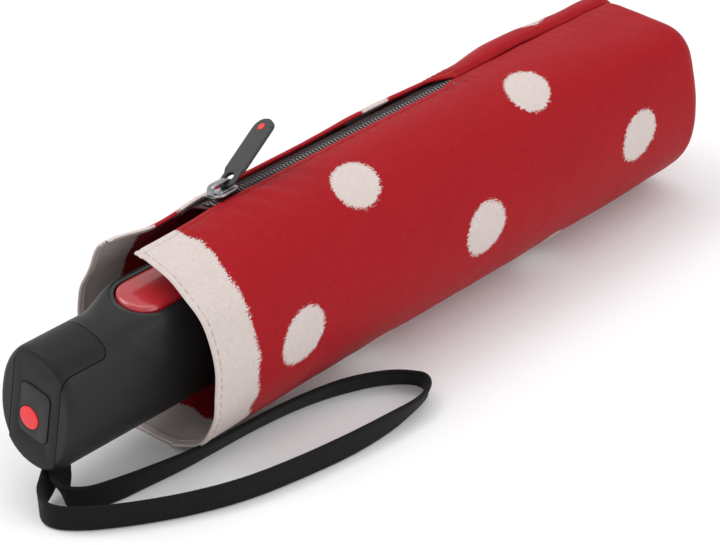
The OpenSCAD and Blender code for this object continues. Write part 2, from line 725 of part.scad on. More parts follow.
module zip_pull() {
    half_thick = paddle_thick / 2;
    color([0.2, 0.2, 0.21]) on_pull() difference() {
        union() {
            rotate([90, 0, 0])
                cylinder(r = pull_pin_radius, h = 2 * eye_half_width, center = true, $fn = 48);
            block([0, -eye_half_width, -pull_pin_radius], [paddle_from + 2, eye_half_width, pull_pin_radius]);
            translate([(paddle_from + pull_length) / 2, 0, -half_thick]) linear_extrude(paddle_thick)
                rounded_plate([pull_length - paddle_from, paddle_width], 3);
        }
        block([pull_eye[0], -pull_eye_half, -through], [pull_eye[1], pull_eye_half, through]);
    }
}
module pull_mark() {
    color([0.8, 0.1, 0.12]) on_pull()
        translate([pull_length - 3.6, 0, paddle_thick / 2]) cylinder(r = 1.3, h = 0.2, $fn = 32);
}

// ---------------------------------------------------------------- one line for each piece

handle_shell();
end_strip();
badge_plate();
badge_dot();
button_collar();
push_button();
button_spring();
latch_lever();
latch_pin();
strap_anchor();
wrist_strap();
rib_tip_cup();
tube_pin();
lower_tube();
lower_tube_ring();
middle_tube();
upper_tube();
main_spring();
crown();
crown_wire();
crown_cap();
runner();
runner_wire();
stretchers();
for (i = [1:rib_count]) top_rib_at(i);
for (i = [1:rib_count]) middle_rib_at(i);
end_ribs();
rib_tips();
rib_knuckles();
rib_rivets();
folded_canopy();
canopy_tie();
tie_snap();
case_mouth();
case_body();
case_end();
mouth_hem();
zip_tape(1);  // zip_tape_left
zip_tape(-1);  // zip_tape_right
zip_coil(1);  // zip_coil_left
zip_coil(-1);  // zip_coil_right
zip_stops();
zip_slider();
zip_pull();
pull_mark();
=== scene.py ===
"""The looks of a pocket umbrella pushed into its dotted zip case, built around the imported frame.

Everything is made in millimetres and turned into metres when a mesh is made. X runs from the
handle's end to the case's closed end, Z is up, and the case rests on the floor.
"""

import json
import math

import bmesh
import bpy
import numpy as np
from mathutils import Matrix, Vector, noise


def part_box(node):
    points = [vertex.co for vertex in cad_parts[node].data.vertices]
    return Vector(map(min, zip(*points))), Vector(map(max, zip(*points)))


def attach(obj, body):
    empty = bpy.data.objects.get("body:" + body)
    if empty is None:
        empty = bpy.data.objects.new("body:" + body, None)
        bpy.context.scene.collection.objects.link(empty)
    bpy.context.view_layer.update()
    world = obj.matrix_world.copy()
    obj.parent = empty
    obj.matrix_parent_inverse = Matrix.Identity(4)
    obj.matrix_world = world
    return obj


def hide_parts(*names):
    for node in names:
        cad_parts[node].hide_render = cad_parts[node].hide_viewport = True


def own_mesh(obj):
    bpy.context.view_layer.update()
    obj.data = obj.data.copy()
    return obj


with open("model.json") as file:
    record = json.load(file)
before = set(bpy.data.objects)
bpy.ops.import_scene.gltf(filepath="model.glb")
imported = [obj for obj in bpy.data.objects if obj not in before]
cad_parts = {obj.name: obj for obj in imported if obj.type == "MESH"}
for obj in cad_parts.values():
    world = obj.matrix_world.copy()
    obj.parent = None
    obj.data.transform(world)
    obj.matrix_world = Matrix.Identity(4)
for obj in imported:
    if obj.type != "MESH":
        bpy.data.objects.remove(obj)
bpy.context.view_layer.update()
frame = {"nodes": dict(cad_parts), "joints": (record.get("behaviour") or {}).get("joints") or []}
MM = 0.001
nodes = frame["nodes"]


# ---------------------------------------------------------------- places taken from the frame

def node_box(name):
    """Lowest and highest corner of a CAD node, in millimetres."""
    low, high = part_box(name)
    return np.array(low) / MM, np.array(high) / MM


def joint_axis(name):
    return next(j["axis"] for j in frame["joints"] if j["name"] == name)


AXIS_Z = float(sum(corner[2] for corner in node_box("upper_tube")) / 2)
ROLL = math.asin(joint_axis("button_press")[1])
ZIP_TILT = math.asin(joint_axis("zip_pull_turn")[2])
HANDLE_END_X = float(node_box("end_strip")[0][0])
HANDLE_FRONT_X = float(node_box("handle_shell")[1][0])
CASE_RADIUS = float(node_box("case_body")[1][1])
CASE_AXIS_Z = float(node_box("case_body")[1][2]) - CASE_RADIUS
MOUTH_X = float(node_box("case_mouth")[0][0])
MOUTH_SEAM_X = float(node_box("case_mouth")[1][0])
CASE_END_X = float(node_box("case_end")[1][0])
CHAIN_END_X = float(node_box("zip_coil_left")[1][0])
CHAIN_START_X = float(node_box("zip_coil_left")[0][0])
SLIDER_X = float(sum(corner[0] for corner in node_box("zip_slider")) / 2)
BUTTON_X = float(sum(corner[0] for corner in node_box("push_button")) / 2)
CANOPY_FRONT_X = float(node_box("folded_canopy")[0][0])
CANOPY_END_X = float(node_box("folded_canopy")[1][0])
TIE_SPAN = [float(corner[0]) for corner in node_box("canopy_tie")]


def turned(points, angle, height):
    """Points turned about X and then lifted."""
    p = np.asarray(points, float)
    across, up = p[..., 1], p[..., 2]
    c, s = math.cos(angle), math.sin(angle)
    return np.stack([p[..., 0], across * c - up * s, height + across * s + up * c], -1)


def in_umbrella(points):
    """From the umbrella's own frame, turned about its axis inside the case, to the row frame."""
    return turned(points, ROLL, AXIS_Z)


def in_zip(points):
    """From the zip's frame, whose Z points out through the middle of the zip, to the row frame."""
    return turned(points, -ZIP_TILT, CASE_AXIS_Z)


ZIP_SIDEWAYS = in_zip([0, 1, 0]) - in_zip([0, 0, 0])
ZIP_OUT = in_zip([0, 0, 1]) - in_zip([0, 0, 0])


# ---------------------------------------------------------------- camera, floor and light

def aim(obj, eye, target):
    obj.location = eye
    obj.rotation_mode = "QUATERNION"
    obj.rotation_quaternion = (Vector(target) - Vector(eye)).to_track_quat("-Z", "Y")


def make_camera():
    azimuth, elevation, distance = math.radians(-48.4), math.radians(29.6), 0.977
    target = Vector((-0.002, 0, 0.018))
    back = Vector((math.sin(azimuth) * math.cos(elevation), -math.cos(azimuth) * math.cos(elevation),
                   math.sin(elevation)))
    data = bpy.data.cameras.new("camera")
    data.lens, data.sensor_width = 150, 36
    data.clip_start, data.clip_end = 0.05, 30
    camera = bpy.data.objects.new("camera", data)
    bpy.context.scene.collection.objects.link(camera)
    aim(camera, target + back * distance, target)
    bpy.context.scene.camera = camera


def area_light(name, place, target, size, power, colour=(1, 1, 1)):
    data = bpy.data.lights.new(name, "AREA")
    data.shape, data.size, data.size_y = "RECTANGLE", size[0], size[1]
    data.energy, data.color = power, colour
    light = bpy.data.objects.new(name, data)
    bpy.context.scene.collection.objects.link(light)
    aim(light, place, target)


def make_light():
    world = bpy.data.worlds.new("studio")
    bpy.context.scene.world = world
    world.use_nodes = True
    sky = world.node_tree.nodes["Background"]
    sky.inputs["Color"].default_value = (1, 1, 1, 1)
    sky.inputs["Strength"].default_value = 0.88
    area_light("key", (-0.55, 0.75, 1.25), (0, 0, 0.03), (0.9, 0.9), 8.5)
    area_light("top", (0.25, 0.15, 1.3), (0.02, 0, 0.03), (1.2, 0.5), 2.5)
    area_light("side", (0.2, -1.3, 0.75), (0, 0, 0.03), (1.2, 0.6), 5)
    bpy.context.scene.view_settings.view_transform = "Standard"


def make_floor():
    bpy.ops.mesh.primitive_plane_add(size=24, location=(0, 0, 0))
    floor = bpy.context.active_object
    floor.name = "floor"
    kit = Shader("floor_white")
    kit.set("Base Color", (0.86, 0.86, 0.87, 1))
    kit.set("Roughness", 0.9)
    kit.set("Specular IOR Level", 0.1)
    grain = kit.noise(kit.place(), 40, 3)
    kit.bump(grain, 0.02, 0.001)
    floor.data.materials.append(kit.material)


# ---------------------------------------------------------------- materials

class Shader:
    """A node material with one Principled shader, and short calls for the nodes that feed it."""

    def __init__(self, name):
        self.material = bpy.data.materials.new(name)
        self.material.use_nodes = True
        self.tree = self.material.node_tree
        self.surface = self.tree.nodes["Principled BSDF"]

    def node(self, kind, **values):
        made = self.tree.nodes.new(kind)
        for key, value in values.items():
            setattr(made, key, value)
        return made

    def link(self, source, target):
        self.tree.links.new(source, target)

    def feed(self, socket, value):
        if isinstance(value, bpy.types.NodeSocket):
            self.link(value, socket)
        else:
            socket.default_value = value

    def set(self, socket, value):
        self.feed(self.surface.inputs[socket], value)

    def place(self):
        """Place in the row frame at rest, in metres."""
        return self.node("ShaderNodeTexCoord").outputs["Object"]

    def cloth_place(self):
        """Place on the flat cloth, in millimetres: along the case, and round it from the zip."""
        return self.node("ShaderNodeUVMap", uv_map="cloth").outputs["UV"]

    def math(self, operation, a, b=0.0, c=0.0):
        made = self.node("ShaderNodeMath", operation=operation)
        for socket, value in zip(made.inputs, (a, b, c)):
            self.feed(socket, value)
        return made.outputs[0]

    def scaled_noise(self, place, scale, detail, roughness=0.5):
        """Noise whose grains are drawn out by their own scale along each axis."""
        return self.noise(self.stretched(place, scale), 1.0, detail, roughness)

    def stretched(self, place, scale):
        made = self.node("ShaderNodeMapping")
        self.feed(made.inputs["Vector"], place)
        made.inputs["Scale"].default_value = scale
        return made.outputs[0]

    def noise(self, place, scale, detail=2.0, roughness=0.5):
        made = self.node("ShaderNodeTexNoise")
        self.feed(made.inputs["Vector"], place)
        made.inputs["Scale"].default_value = scale
        made.inputs["Detail"].default_value = detail
        made.inputs["Roughness"].default_value = roughness
        return made.outputs["Fac"]

    def waves(self, place, scale, direction="X", distortion=0.0):
        made = self.node("ShaderNodeTexWave", bands_direction=direction)
        self.feed(made.inputs["Vector"], place)
        made.inputs["Scale"].default_value = scale
        made.inputs["Distortion"].default_value = distortion
        return made.outputs["Fac"]

    def span(self, value, low, high, to_low=0.0, to_high=1.0, smooth=False):
        made = self.node("ShaderNodeMapRange")
        if smooth:
            made.interpolation_type = "SMOOTHSTEP"
        for socket, v in zip(made.inputs, (value, low, high, to_low, to_high)):
            self.feed(socket, v)
        return made.outputs[0]

    def mix(self, share, a, b):
        made = self.node("ShaderNodeMix", data_type="RGBA")
        self.feed(made.inputs["Factor"], share)
        self.feed(made.inputs["A"], a)
        self.feed(made.inputs["B"], b)
        return made.outputs["Result"]

    def bump(self, height, strength, distance):
        made = self.node("ShaderNodeBump")
        made.inputs["Strength"].default_value = strength
        made.inputs["Distance"].default_value = distance
        self.feed(made.inputs["Height"], height)
        if self.surface.inputs["Normal"].is_linked:
            before = self.surface.inputs["Normal"].links[0].from_socket
            self.feed(made.inputs["Normal"], before)
        self.link(made.outputs[0], self.surface.inputs["Normal"])


def shade(colour, factor):
    return (colour[0] * factor, colour[1] * factor, colour[2] * factor, 1)


# Size of the printed pattern on the cloth, in millimetres
DOT_RADIUS = 8.6
BAND_WIDTH = 17.6
DOT_ROWS = {"first": (-19.1, 24.4, 86.6, 69.1), "second": (-60.5, 58.9, 83.9, 69.1)}
DOT_TWIST, DOT_LEAN, DOT_STRETCH = 0.013, 0.18, 1.08
RED = (0.315, 0.004, 0.0085, 1)
OFF_WHITE = (0.58, 0.5, 0.475, 1)


def wrapped(kit, value, start, period):
    """Distance from the nearest of start + n * period."""
    turns = kit.math("DIVIDE", kit.math("SUBTRACT", value, start), period)
    nearest = kit.math("ROUND", turns)
    return kit.math("MULTIPLY", kit.math("SUBTRACT", turns, nearest), period)


def printed_cloth(name, brightness=1.0, band_from=MOUTH_X):
    """Red cloth with off-white dots and an off-white band at its hem, both with brushed edges."""
    kit = Shader(name)
    flat = kit.cloth_place()
    parts = kit.node("ShaderNodeSeparateXYZ")
    kit.link(flat, parts.inputs[0])
    along, round_it = parts.outputs[0], parts.outputs[1]
    brushed = kit.scaled_noise(flat, (0.55, 1.25, 1), 2, 0.7)
    fibre = kit.scaled_noise(flat, (1.6, 3.2, 1), 1, 0.5)
    wander = kit.noise(flat, 0.09, 1)
    rough_edge = kit.math("ADD", kit.math("MULTIPLY", kit.math("SUBTRACT", brushed, 0.5), 3.6),
                          kit.math("MULTIPLY", kit.math("SUBTRACT", fibre, 0.5), 3.4))
    inside = kit.math("SUBTRACT", BAND_WIDTH + band_from, along)
    inside = kit.math("ADD", inside, kit.math("MULTIPLY", kit.math("SUBTRACT", wander, 0.5), 7.0))
    for start_x, start_round, step_x, step_round in DOT_ROWS.values():
        twisted = kit.math("MULTIPLY_ADD", along, DOT_TWIST, round_it)
        across = wrapped(kit, twisted, start_round, step_round)
        leaning = kit.math("MULTIPLY_ADD", across, DOT_LEAN, wrapped(kit, along, start_x, step_x))
        ahead = kit.math("DIVIDE", leaning, DOT_STRETCH)
        squares = kit.math("ADD", kit.math("MULTIPLY", ahead, ahead), kit.math("MULTIPLY", across, across))
        dot = kit.math("SUBTRACT", DOT_RADIUS, kit.math("SQRT", squares))
        inside = kit.math("MAXIMUM", inside, dot)
    light_share = kit.span(kit.math("ADD", inside, rough_edge), -0.12, 0.12)
    yarn = kit.scaled_noise(flat, (0.35, 2.2, 1), 2, 0.6)
    cross_yarn = kit.scaled_noise(flat, (2.2, 0.35, 1), 2, 0.6)
    woven = kit.math("ADD", kit.math("MULTIPLY", yarn, 0.5), kit.math("MULTIPLY", cross_yarn, 0.5))
    patches = kit.noise(flat, 0.03, 3)
    tone = kit.span(woven, 0.3, 0.7)
    red = kit.mix(tone, shade(RED, 0.8 * brightness), shade(RED, 1.2 * brightness))
    red = kit.mix(kit.span(patches, 0.3, 0.7, 0, 0.35), red, shade(RED, 0.8 * brightness))
    pale = kit.mix(tone, shade(OFF_WHITE, 0.87 * brightness), shade(OFF_WHITE, 1.08 * brightness))
    kit.set("Base Color", kit.mix(light_share, red, pale))
    kit.set("Roughness", kit.span(tone, 0, 1, 0.62, 0.5))
    kit.set("Specular IOR Level", 0.12)
    kit.set("Sheen Weight", 0.02)
    kit.set("Sheen Roughness", 0.4)
    kit.bump(woven, 0.5, 0.00012)
    kit.bump(kit.waves(flat, 1.0, "DIAGONAL"), 0.12, 0.00008)
    return kit.material


def tape_cloth(name, colour):
    kit = Shader(name)
    weave = kit.waves(kit.place(), 420, "DIAGONAL", 0.6)
    speckle = kit.noise(kit.place(), 900, 2)
    kit.set("Base Color", kit.mix(kit.span(speckle, 0.3, 0.7), shade(colour, 0.7), shade(colour, 1.2)))
    kit.set("Roughness", 0.8)
    kit.set("Sheen Weight", 0.2)
    kit.bump(weave, 0.4, 0.0001)
    return kit.material


def moulded(name, colour, roughness=0.5, grain=1400, depth=0.00003, specular=0.5, coat=0.0):
    """Moulded plastic or rubber: fine spark-eroded grain, faint mottling and slightly worn roughness."""
    kit = Shader(name)
    speckle = kit.noise(kit.place(), grain, 3, 0.6)
    patches = kit.noise(kit.place(), 38, 3)
    kit.set("Base Color", kit.mix(kit.span(patches, 0.3, 0.7), shade(colour, 0.9), shade(colour, 1.1)))
    kit.set("Roughness", kit.span(patches, 0.3, 0.7, roughness * 0.92, roughness * 1.08))
    kit.set("Specular IOR Level", specular)
    kit.set("Coat Weight", coat)
    kit.set("Coat Roughness", 0.06)
    kit.bump(speckle, 0.35, depth)
    return kit.material


def steel(name, colour, roughness, brushed_along_x=True, metallic=1.0):
    kit = Shader(name)
    stretch = (4, 900, 900) if brushed_along_x else (600, 600, 600)
    streaks = kit.noise(kit.stretched(kit.place(), stretch), 1.0, 3, 0.6)
    smudges = kit.noise(kit.place(), 55, 3)
    kit.set("Base Color", kit.mix(kit.span(streaks, 0.3, 0.7), shade(colour, 0.86), shade(colour, 1.1)))
    kit.set("Metallic", metallic)
    kit.set("Roughness", kit.span(smudges, 0.3, 0.7, roughness * 0.8, roughness * 1.3))
    kit.bump(streaks, 0.15, 0.00002)
    return kit.material


def webbing(name, colour):
    kit = Shader(name)
    place = kit.cloth_place()
    ribs = kit.waves(place, 0.62, "X", 0.4)
    yarn = kit.scaled_noise(place, (1.0, 5.0, 1), 2, 0.6)
    kit.set("Base Color", kit.mix(ribs, shade(colour, 0.55), shade(colour, 1.5)))
    kit.set("Roughness", kit.span(yarn, 0.3, 0.7, 0.62, 0.85))
    kit.set("Specular IOR Level", 0.15)
    kit.set("Sheen Weight", 0.04)
    kit.set("Sheen Roughness", 0.5)
    kit.bump(ribs, 0.5, 0.00016)
    kit.bump(yarn, 0.3, 0.00008)
    return kit.material


def make_materials():
    return {
        "case": printed_cloth("case_print"),
        "canopy": printed_cloth("canopy_print", 0.92, CANOPY_FRONT_X),
        "tape": tape_cloth("zip_tape_cloth", (0.09, 0.003, 0.006)),
        "tie": tape_cloth("tie_cloth", (0.4, 0.008, 0.015)),
        "grip": moulded("handle_soft_touch", (0.0108, 0.0105, 0.0105), 0.5, 1500, 0.00003, 0.27),
        "strip": moulded("strip_plastic", (0.0085, 0.0082, 0.0081), 0.5, 1500, 0.00003, 0.22),
        "badge": moulded("badge_plastic", (0.008, 0.008, 0.0082), 0.45, 1200, 0.00002, 0.35),
        "black": moulded("moulded_black", (0.012, 0.012, 0.013), 0.45, 1200),
        "collar": moulded("collar_black", (0.006, 0.006, 0.007), 0.35, 1200),
        "button": moulded("button_red", (0.36, 0.008, 0.014), 0.25, 300, 0.00001, 0.5, 0.8),
        "dot": moulded("badge_red", (0.72, 0.012, 0.02), 0.35, 500, 0.00001, 0.5),
        "mark": moulded("pull_red", (0.75, 0.02, 0.02), 0.4, 500, 0.00001, 0.5),
        "rubber": moulded("pull_rubber", (0.028, 0.0285, 0.03), 0.4, 1300, 0.00003, 0.4),
        "tube": steel("tube_steel", (0.62, 0.63, 0.65), 0.22),
        "rib": steel("rib_steel", (0.5, 0.51, 0.54), 0.34),
        "bright": steel("bright_steel", (0.72, 0.73, 0.75), 0.16, False),
        "slider": steel("slider_metal", (0.3, 0.305, 0.315), 0.2, False),
        "teeth": steel("zip_teeth", (0.13, 0.127, 0.125), 0.3, False, 0.8),
        # Near-black strip under the zip's teeth: the coil's dark cord, with painted shade in the gaps between
        # the teeth
        "cord_and_gap_shade": moulded("zip_cord_and_gap_shade", (0.004, 0.004, 0.0045), 0.7, 900, 0.00003, 0.15),
        "webbing": webbing("strap_webbing", (0.0045, 0.0045, 0.0048)),
        "thread": tape_cloth("pale_thread", (0.42, 0.37, 0.34)),
        "red_thread": tape_cloth("red_thread", (0.13, 0.004, 0.007)),
    }


# ---------------------------------------------------------------- mesh helpers

def make_object(name, vertices, faces, material, smooth_angle=35, uv=None):
    """A mesh object from points in millimetres."""
    mesh = bpy.data.meshes.new(name)
    mesh.from_pydata([tuple(v) for v in np.asarray(vertices, float) * MM], [], [list(f) for f in faces])
    mesh.validate()
    mesh.materials.append(material)
    obj = bpy.data.objects.new(name, mesh)
    bpy.context.scene.collection.objects.link(obj)
    if uv is not None:
        layer = mesh.uv_layers.new(name="cloth")
        index = np.zeros(len(mesh.loops), int)
        mesh.loops.foreach_get("vertex_index", index)
        layer.data.foreach_set("uv", np.asarray(uv, float)[index].ravel())
    shade_by_angle(obj, smooth_angle)
    return obj


def shade_by_angle(obj, angle):
    """Smooth shading that keeps edges sharper than the angle, in degrees."""
    work = bmesh.new()
    work.from_mesh(obj.data)
    bmesh.ops.recalc_face_normals(work, faces=work.faces)
    limit = math.radians(angle)
    for face in work.faces:
        face.smooth = True
    for edge in work.edges:
        edge.smooth = not (edge.is_manifold and edge.calc_face_angle(0) > limit)
    work.to_mesh(obj.data)
    work.free()


def grid_faces(rows, columns, start=0, close_columns=False):
    """Faces of a grid of points numbered row by row."""
    last = columns if close_columns else columns - 1
    return [
        (start + i * columns + j, start + i * columns + (j + 1) % columns,
         start + (i + 1) * columns + (j + 1) % columns, start + (i + 1) * columns + j)
        for i in range(rows - 1) for j in range(last)
    ]


def shell_faces(rows, columns, close_columns=False):
    """Faces of a sheet: a grid of outer points, then the same grid of inner ones facing inwards."""
    outer = grid_faces(rows, columns, close_columns=close_columns)
    return outer + [tuple(rows * columns + v for v in reversed(face)) for face in outer]


def border_faces(border, count):
    """Faces that join a closed run of outer points to the inner ones, whose numbers are count higher."""
    return [(a, b, b + count, a + count) for a, b in zip(border, [*border[1:], border[0]])]


def tube_faces(rows, columns):
    """Faces of a sheet that is closed into a tube, with its two ends joined."""
    faces = shell_faces(rows, columns, True)
    for start in (0, (rows - 1) * columns):
        faces += border_faces(list(range(start, start + columns)), rows * columns)
    return faces


def baked(obj):
    """Applies the object's modifiers to its mesh."""
    graph = bpy.context.evaluated_depsgraph_get()
    mesh = bpy.data.meshes.new_from_object(obj.evaluated_get(graph))
    obj.modifiers.clear()
    obj.data = mesh
    return obj


def tool(outline, low, high, place, axes="xyz"):
    """A solid that only cuts others, so it has a plain material."""
    plain = bpy.data.materials.get("tool") or bpy.data.materials.new("tool")
    return prism("tool", outline, low, high, plain, place, axes)


def cut(obj, other, operation="DIFFERENCE"):
    step = obj.modifiers.new("cut", "BOOLEAN")
    step.operation, step.object, step.solver = operation, other, "EXACT"
    baked(obj)
    bpy.data.objects.remove(other)
    return obj


def soften(obj, width, segments=3, angle=30):
    """Rounds the edges that are sharper than the angle."""
    edge = obj.modifiers.new("edge", "BEVEL")
    edge.width, edge.segments, edge.limit_method = width * MM, segments, "ANGLE"
    edge.angle_limit = math.radians(angle)
    edge.harden_normals = False
    baked(obj)
    shade_by_angle(obj, 40)
    return obj


def stadium(half_length, half_width, count=20):
    """Outline of a slot shape, as [x, y] points."""
    centre = half_length - half_width
    angles = np.linspace(-math.pi / 2, math.pi / 2, count)
    right = np.stack([centre + half_width * np.cos(angles), half_width * np.sin(angles)], -1)
    return np.concatenate([right, -right])


def rounded_rectangle(width, height, corner, count=8):
    points = []
    for quarter, (sx, sy) in enumerate([(1, 1), (-1, 1), (-1, -1), (1, -1)]):
        for angle in np.linspace(0, math.pi / 2, count) + quarter * math.pi / 2:
            points.append([sx * (width / 2 - corner) + corner * math.cos(angle),
                           sy * (height / 2 - corner) + corner * math.sin(angle)])
    return np.array(points)


def prism(name, outline, low, high, material, place, axes="xyz"):
    """A solid of one outline between two levels. axes says which local axis takes the outline's
    first value, its second and the level."""
    outline = np.asarray(outline, float)
    count = len(outline)
    points = np.zeros((2 * count, 3))
    order = ["xyz".index(a) for a in axes]
    for k, level in enumerate((low, high)):
        points[k * count:(k + 1) * count, order[0]] = outline[:, 0]
        points[k * count:(k + 1) * count, order[1]] = outline[:, 1]
        points[k * count:(k + 1) * count, order[2]] = level
    faces = [tuple(range(count - 1, -1, -1)), tuple(range(count, 2 * count))]
    faces += border_faces(list(range(count)), count)
    return make_object(name, place(points), faces, material)


def sweep(name, path, ups, section, material):
    """A section swept along a path; its first axis follows the "up" directions."""
    path, ups = np.asarray(path, float), np.asarray(ups, float)
    section = np.asarray(section, float)
    along = np.gradient(path, axis=0)
    along /= np.linalg.norm(along, axis=1, keepdims=True)
    first = ups - (ups * along).sum(1, keepdims=True) * along
    first /= np.linalg.norm(first, axis=1, keepdims=True)
    second = np.cross(along, first)
    if section.ndim == 2:
        section = np.broadcast_to(section, (len(path), *section.shape))
    rings = path[:, None] + section[..., :1] * first[:, None] + section[..., 1:] * second[:, None]
    rows, columns = rings.shape[:2]
    travelled = np.concatenate([[0], np.cumsum(np.linalg.norm(np.diff(path, axis=0), axis=1))])
    around = np.linspace(0, 1, columns)
    uv = np.stack([np.repeat(travelled, columns), np.tile(around, rows) * 20], -1)
    faces = grid_faces(rows, columns, close_columns=True)
    faces += [tuple(range(columns - 1, -1, -1)), tuple(range((rows - 1) * columns, rows * columns))]
    return make_object(name, rings.reshape(-1, 3), faces, material, uv=uv)


def smooth_route(route, steps):
    """A Catmull-Rom curve through route points of any number of components."""
    route = np.asarray(route, float)
    padded = np.concatenate([route[:1], route, route[-1:]])
    t = np.linspace(0, 1, steps, endpoint=False)[:, None]
    pieces = []
    for a, b, c, d in zip(padded, padded[1:], padded[2:], padded[3:]):
        pieces.append(0.5 * (2 * b + (c - a) * t + (2 * a - 5 * b + 4 * c - d) * t ** 2
                             + (3 * b - a - 3 * c + d) * t ** 3))
    return np.concatenate([*pieces, route[-1:]])


def circle_section(radius, sides=12):
    angles = np.linspace(0, 2 * math.pi, sides, endpoint=False)
    return np.stack([radius * np.cos(angles), radius * np.sin(angles)], -1)


def finish_piece(obj, body, slot, *stands_for):
    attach(obj, body)
    if stands_for:
        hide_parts(*stands_for)
    return obj


def ramp(value, low, high):
    """0 below low, 1 above high, smooth between."""
    t = np.clip((np.asarray(value, float) - low) / (high - low), 0, 1)
    return t * t * (3 - 2 * t)


def hill(value, middle, width):
    """1 at the middle, falling smoothly to 0 on both sides."""
    return np.exp(-((value - middle) / width) ** 2)


def soft_noise(points, scale, seed=0.0):
    """Smooth noise in -1 to 1 at each point, in millimetres."""
    flat = np.asarray(points, float).reshape(-1, 3) / scale + seed
    values = np.array([noise.noise(Vector(p)) for p in flat])
    return values.reshape(np.asarray(points).shape[:-1])


# ---------------------------------------------------------------- wrist strap

# The strap's centre line, in millimetres: place, then the direction of its upper edge
STRAP_ROUTE = [
    [-137.8, 1.4, 11.8, -1, 0, 0], [-138, 1.4, 9.8, -1, 0, 0.1], [-139.6, 0.8, 7.6, -0.9, 0, 0.5],
    [-143.2, -0.8, 5.8, -0.6, 0, 0.8], [-147.4, -3.2, 4.9, -0.3, 0, 1], [-150.8, -6.9, 4.5, 0, 0, 1],
    [-152, -11.5, 4.3, 0, 0, 1], [-149.5, -17, 4.3, 0, 0, 1], [-143, -23.5, 4.3, 0, 0, 1],
    [-131, -32, 4.3, 0, 0, 1], [-117.5, -39.4, 4.3, 0, 0, 1], [-102.5, -45.2, 4.3, 0, 0, 1],
    [-84.5, -49.2, 4.3, 0, 0, 1], [-65, -52, 4.3, 0, 0, 1], [-47.5, -52.8, 4.3, 0, -0.2, 1],
    [-35, -52, 4.2, 0, -0.5, 1], [-26.5, -49.4, 4.1, -0.2, -0.5, 1], [-22.4, -45, 4.1, -0.4, -0.4, 1],
    [-23.5, -39.8, 4.1, -0.4, -0.4, 1], [-30, -33.4, 4.1, -0.2, -0.5, 1], [-41.5, -27.8, 4.1, 0, -0.5, 1],
    [-55, -24.3, 4.1, 0, -0.55, 1], [-71, -22.2, 4, 0, -0.55, 1], [-87, -21.5, 4, 0, -0.55, 1],
    [-103, -20.6, 4.1, 0, -0.4, 1], [-119, -18.4, 4.2, 0, -0.2, 1], [-131, -16.2, 4.3, 0, 0, 1],
    [-138, -13.6, 4.3, 0, 0, 1], [-141.6, -10, 4.5, -0.1, 0, 1], [-142, -6.8, 5.2, -0.4, 0, 0.9],
    [-140.4, -4, 6.6, -0.8, 0, 0.5], [-138.4, -1.9, 8.4, -1, 0, 0.2], [-137.8, -1.4, 10, -1, 0, 0],
    [-137.8, -1.4, 11.8, -1, 0, 0]]
STRAP_WIDTH, STRAP_THICK, STRAP_LENGTH = 8.0, 1.6, 325.0
STRAP_RIB = 0.05


def make_strap(materials):
    rows = smooth_route(STRAP_ROUTE, 16)
    half, thick = STRAP_WIDTH / 2, STRAP_THICK / 2
    angles = np.linspace(0, 2 * math.pi, 28, endpoint=False)
    flat = 0.32
    section = np.stack([half * np.sign(np.cos(angles)) * np.abs(np.cos(angles)) ** flat,
                        thick * np.sign(np.sin(angles)) * np.abs(np.sin(angles)) ** 0.45], -1)
    swell = 1 + STRAP_RIB * (np.arange(len(rows)) % 2)[:, None]
    sections = np.stack([np.broadcast_to(section[:, 0], (len(rows), len(section))),
                         section[:, 1] * swell], -1)
    strap = sweep("wrist_strap_ribbon", rows[:, :3], rows[:, 3:], sections, materials["webbing"])
    finish_piece(strap, "handle", "strap_webbing", "wrist_strap")


# ---------------------------------------------------------------- case

CASE_WALL = 1.1
CASE_CORNER = 7.5
HALF_TURN = math.pi * CASE_RADIUS
HEM_STITCH = 1.6
ZIP_STITCH = 2.4
SEAM_DEPTH = 0.45
SLIT_X = SLIDER_X - 1.0
MOUTH_REACH = 3.4
END_PROFILE = math.radians(78)


def smooth_step_min(a, b, blend):
    """The lower of two values, rounded where they meet."""
    h = np.clip(0.5 + 0.5 * (b - a) / blend, 0, 1)
    return b + (a - b) * h - blend * h * (1 - h)


def slit_edge(x, side):
    """Distance of the cloth's edge from the zip line; side 1 is towards the strap, -1 away from it."""
    at_mouth, at_slider, at_end = (4.8, 3.1, 3.0) if side > 0 else (6.6, 4.2, 3.7)
    x = np.asarray(x, float)
    spread = np.clip((SLIT_X - x) / (SLIT_X - MOUTH_X), 0, 1)
    open_part = at_slider + (at_mouth - at_slider) * spread ** 1.25
    chain = at_slider + (at_end - at_slider) * ramp(x, SLIT_X, CHAIN_END_X)
    edge = np.where(x < SLIT_X, open_part, chain)
    return edge * (1 - ramp(x, CHAIN_END_X - 9, CHAIN_END_X + 2.5)) + 0.1


def facets(angle, share):
    """The empty end of the case is not quite round: it folds at two soft corners. Angles from the
    top towards the strap."""

    def bump(at, width):
        away = (angle - math.radians(at) + math.pi) % (2 * math.pi) - math.pi
        return np.exp(-(away / math.radians(width)) ** 2)
    return share * (3.3 * bump(42, 17) - 1.7 * bump(5, 20) - 1.3 * bump(88, 24) - 0.6 * bump(138, 17)
                    + 1.6 * bump(-62, 22) - 0.8 * bump(-105, 22))


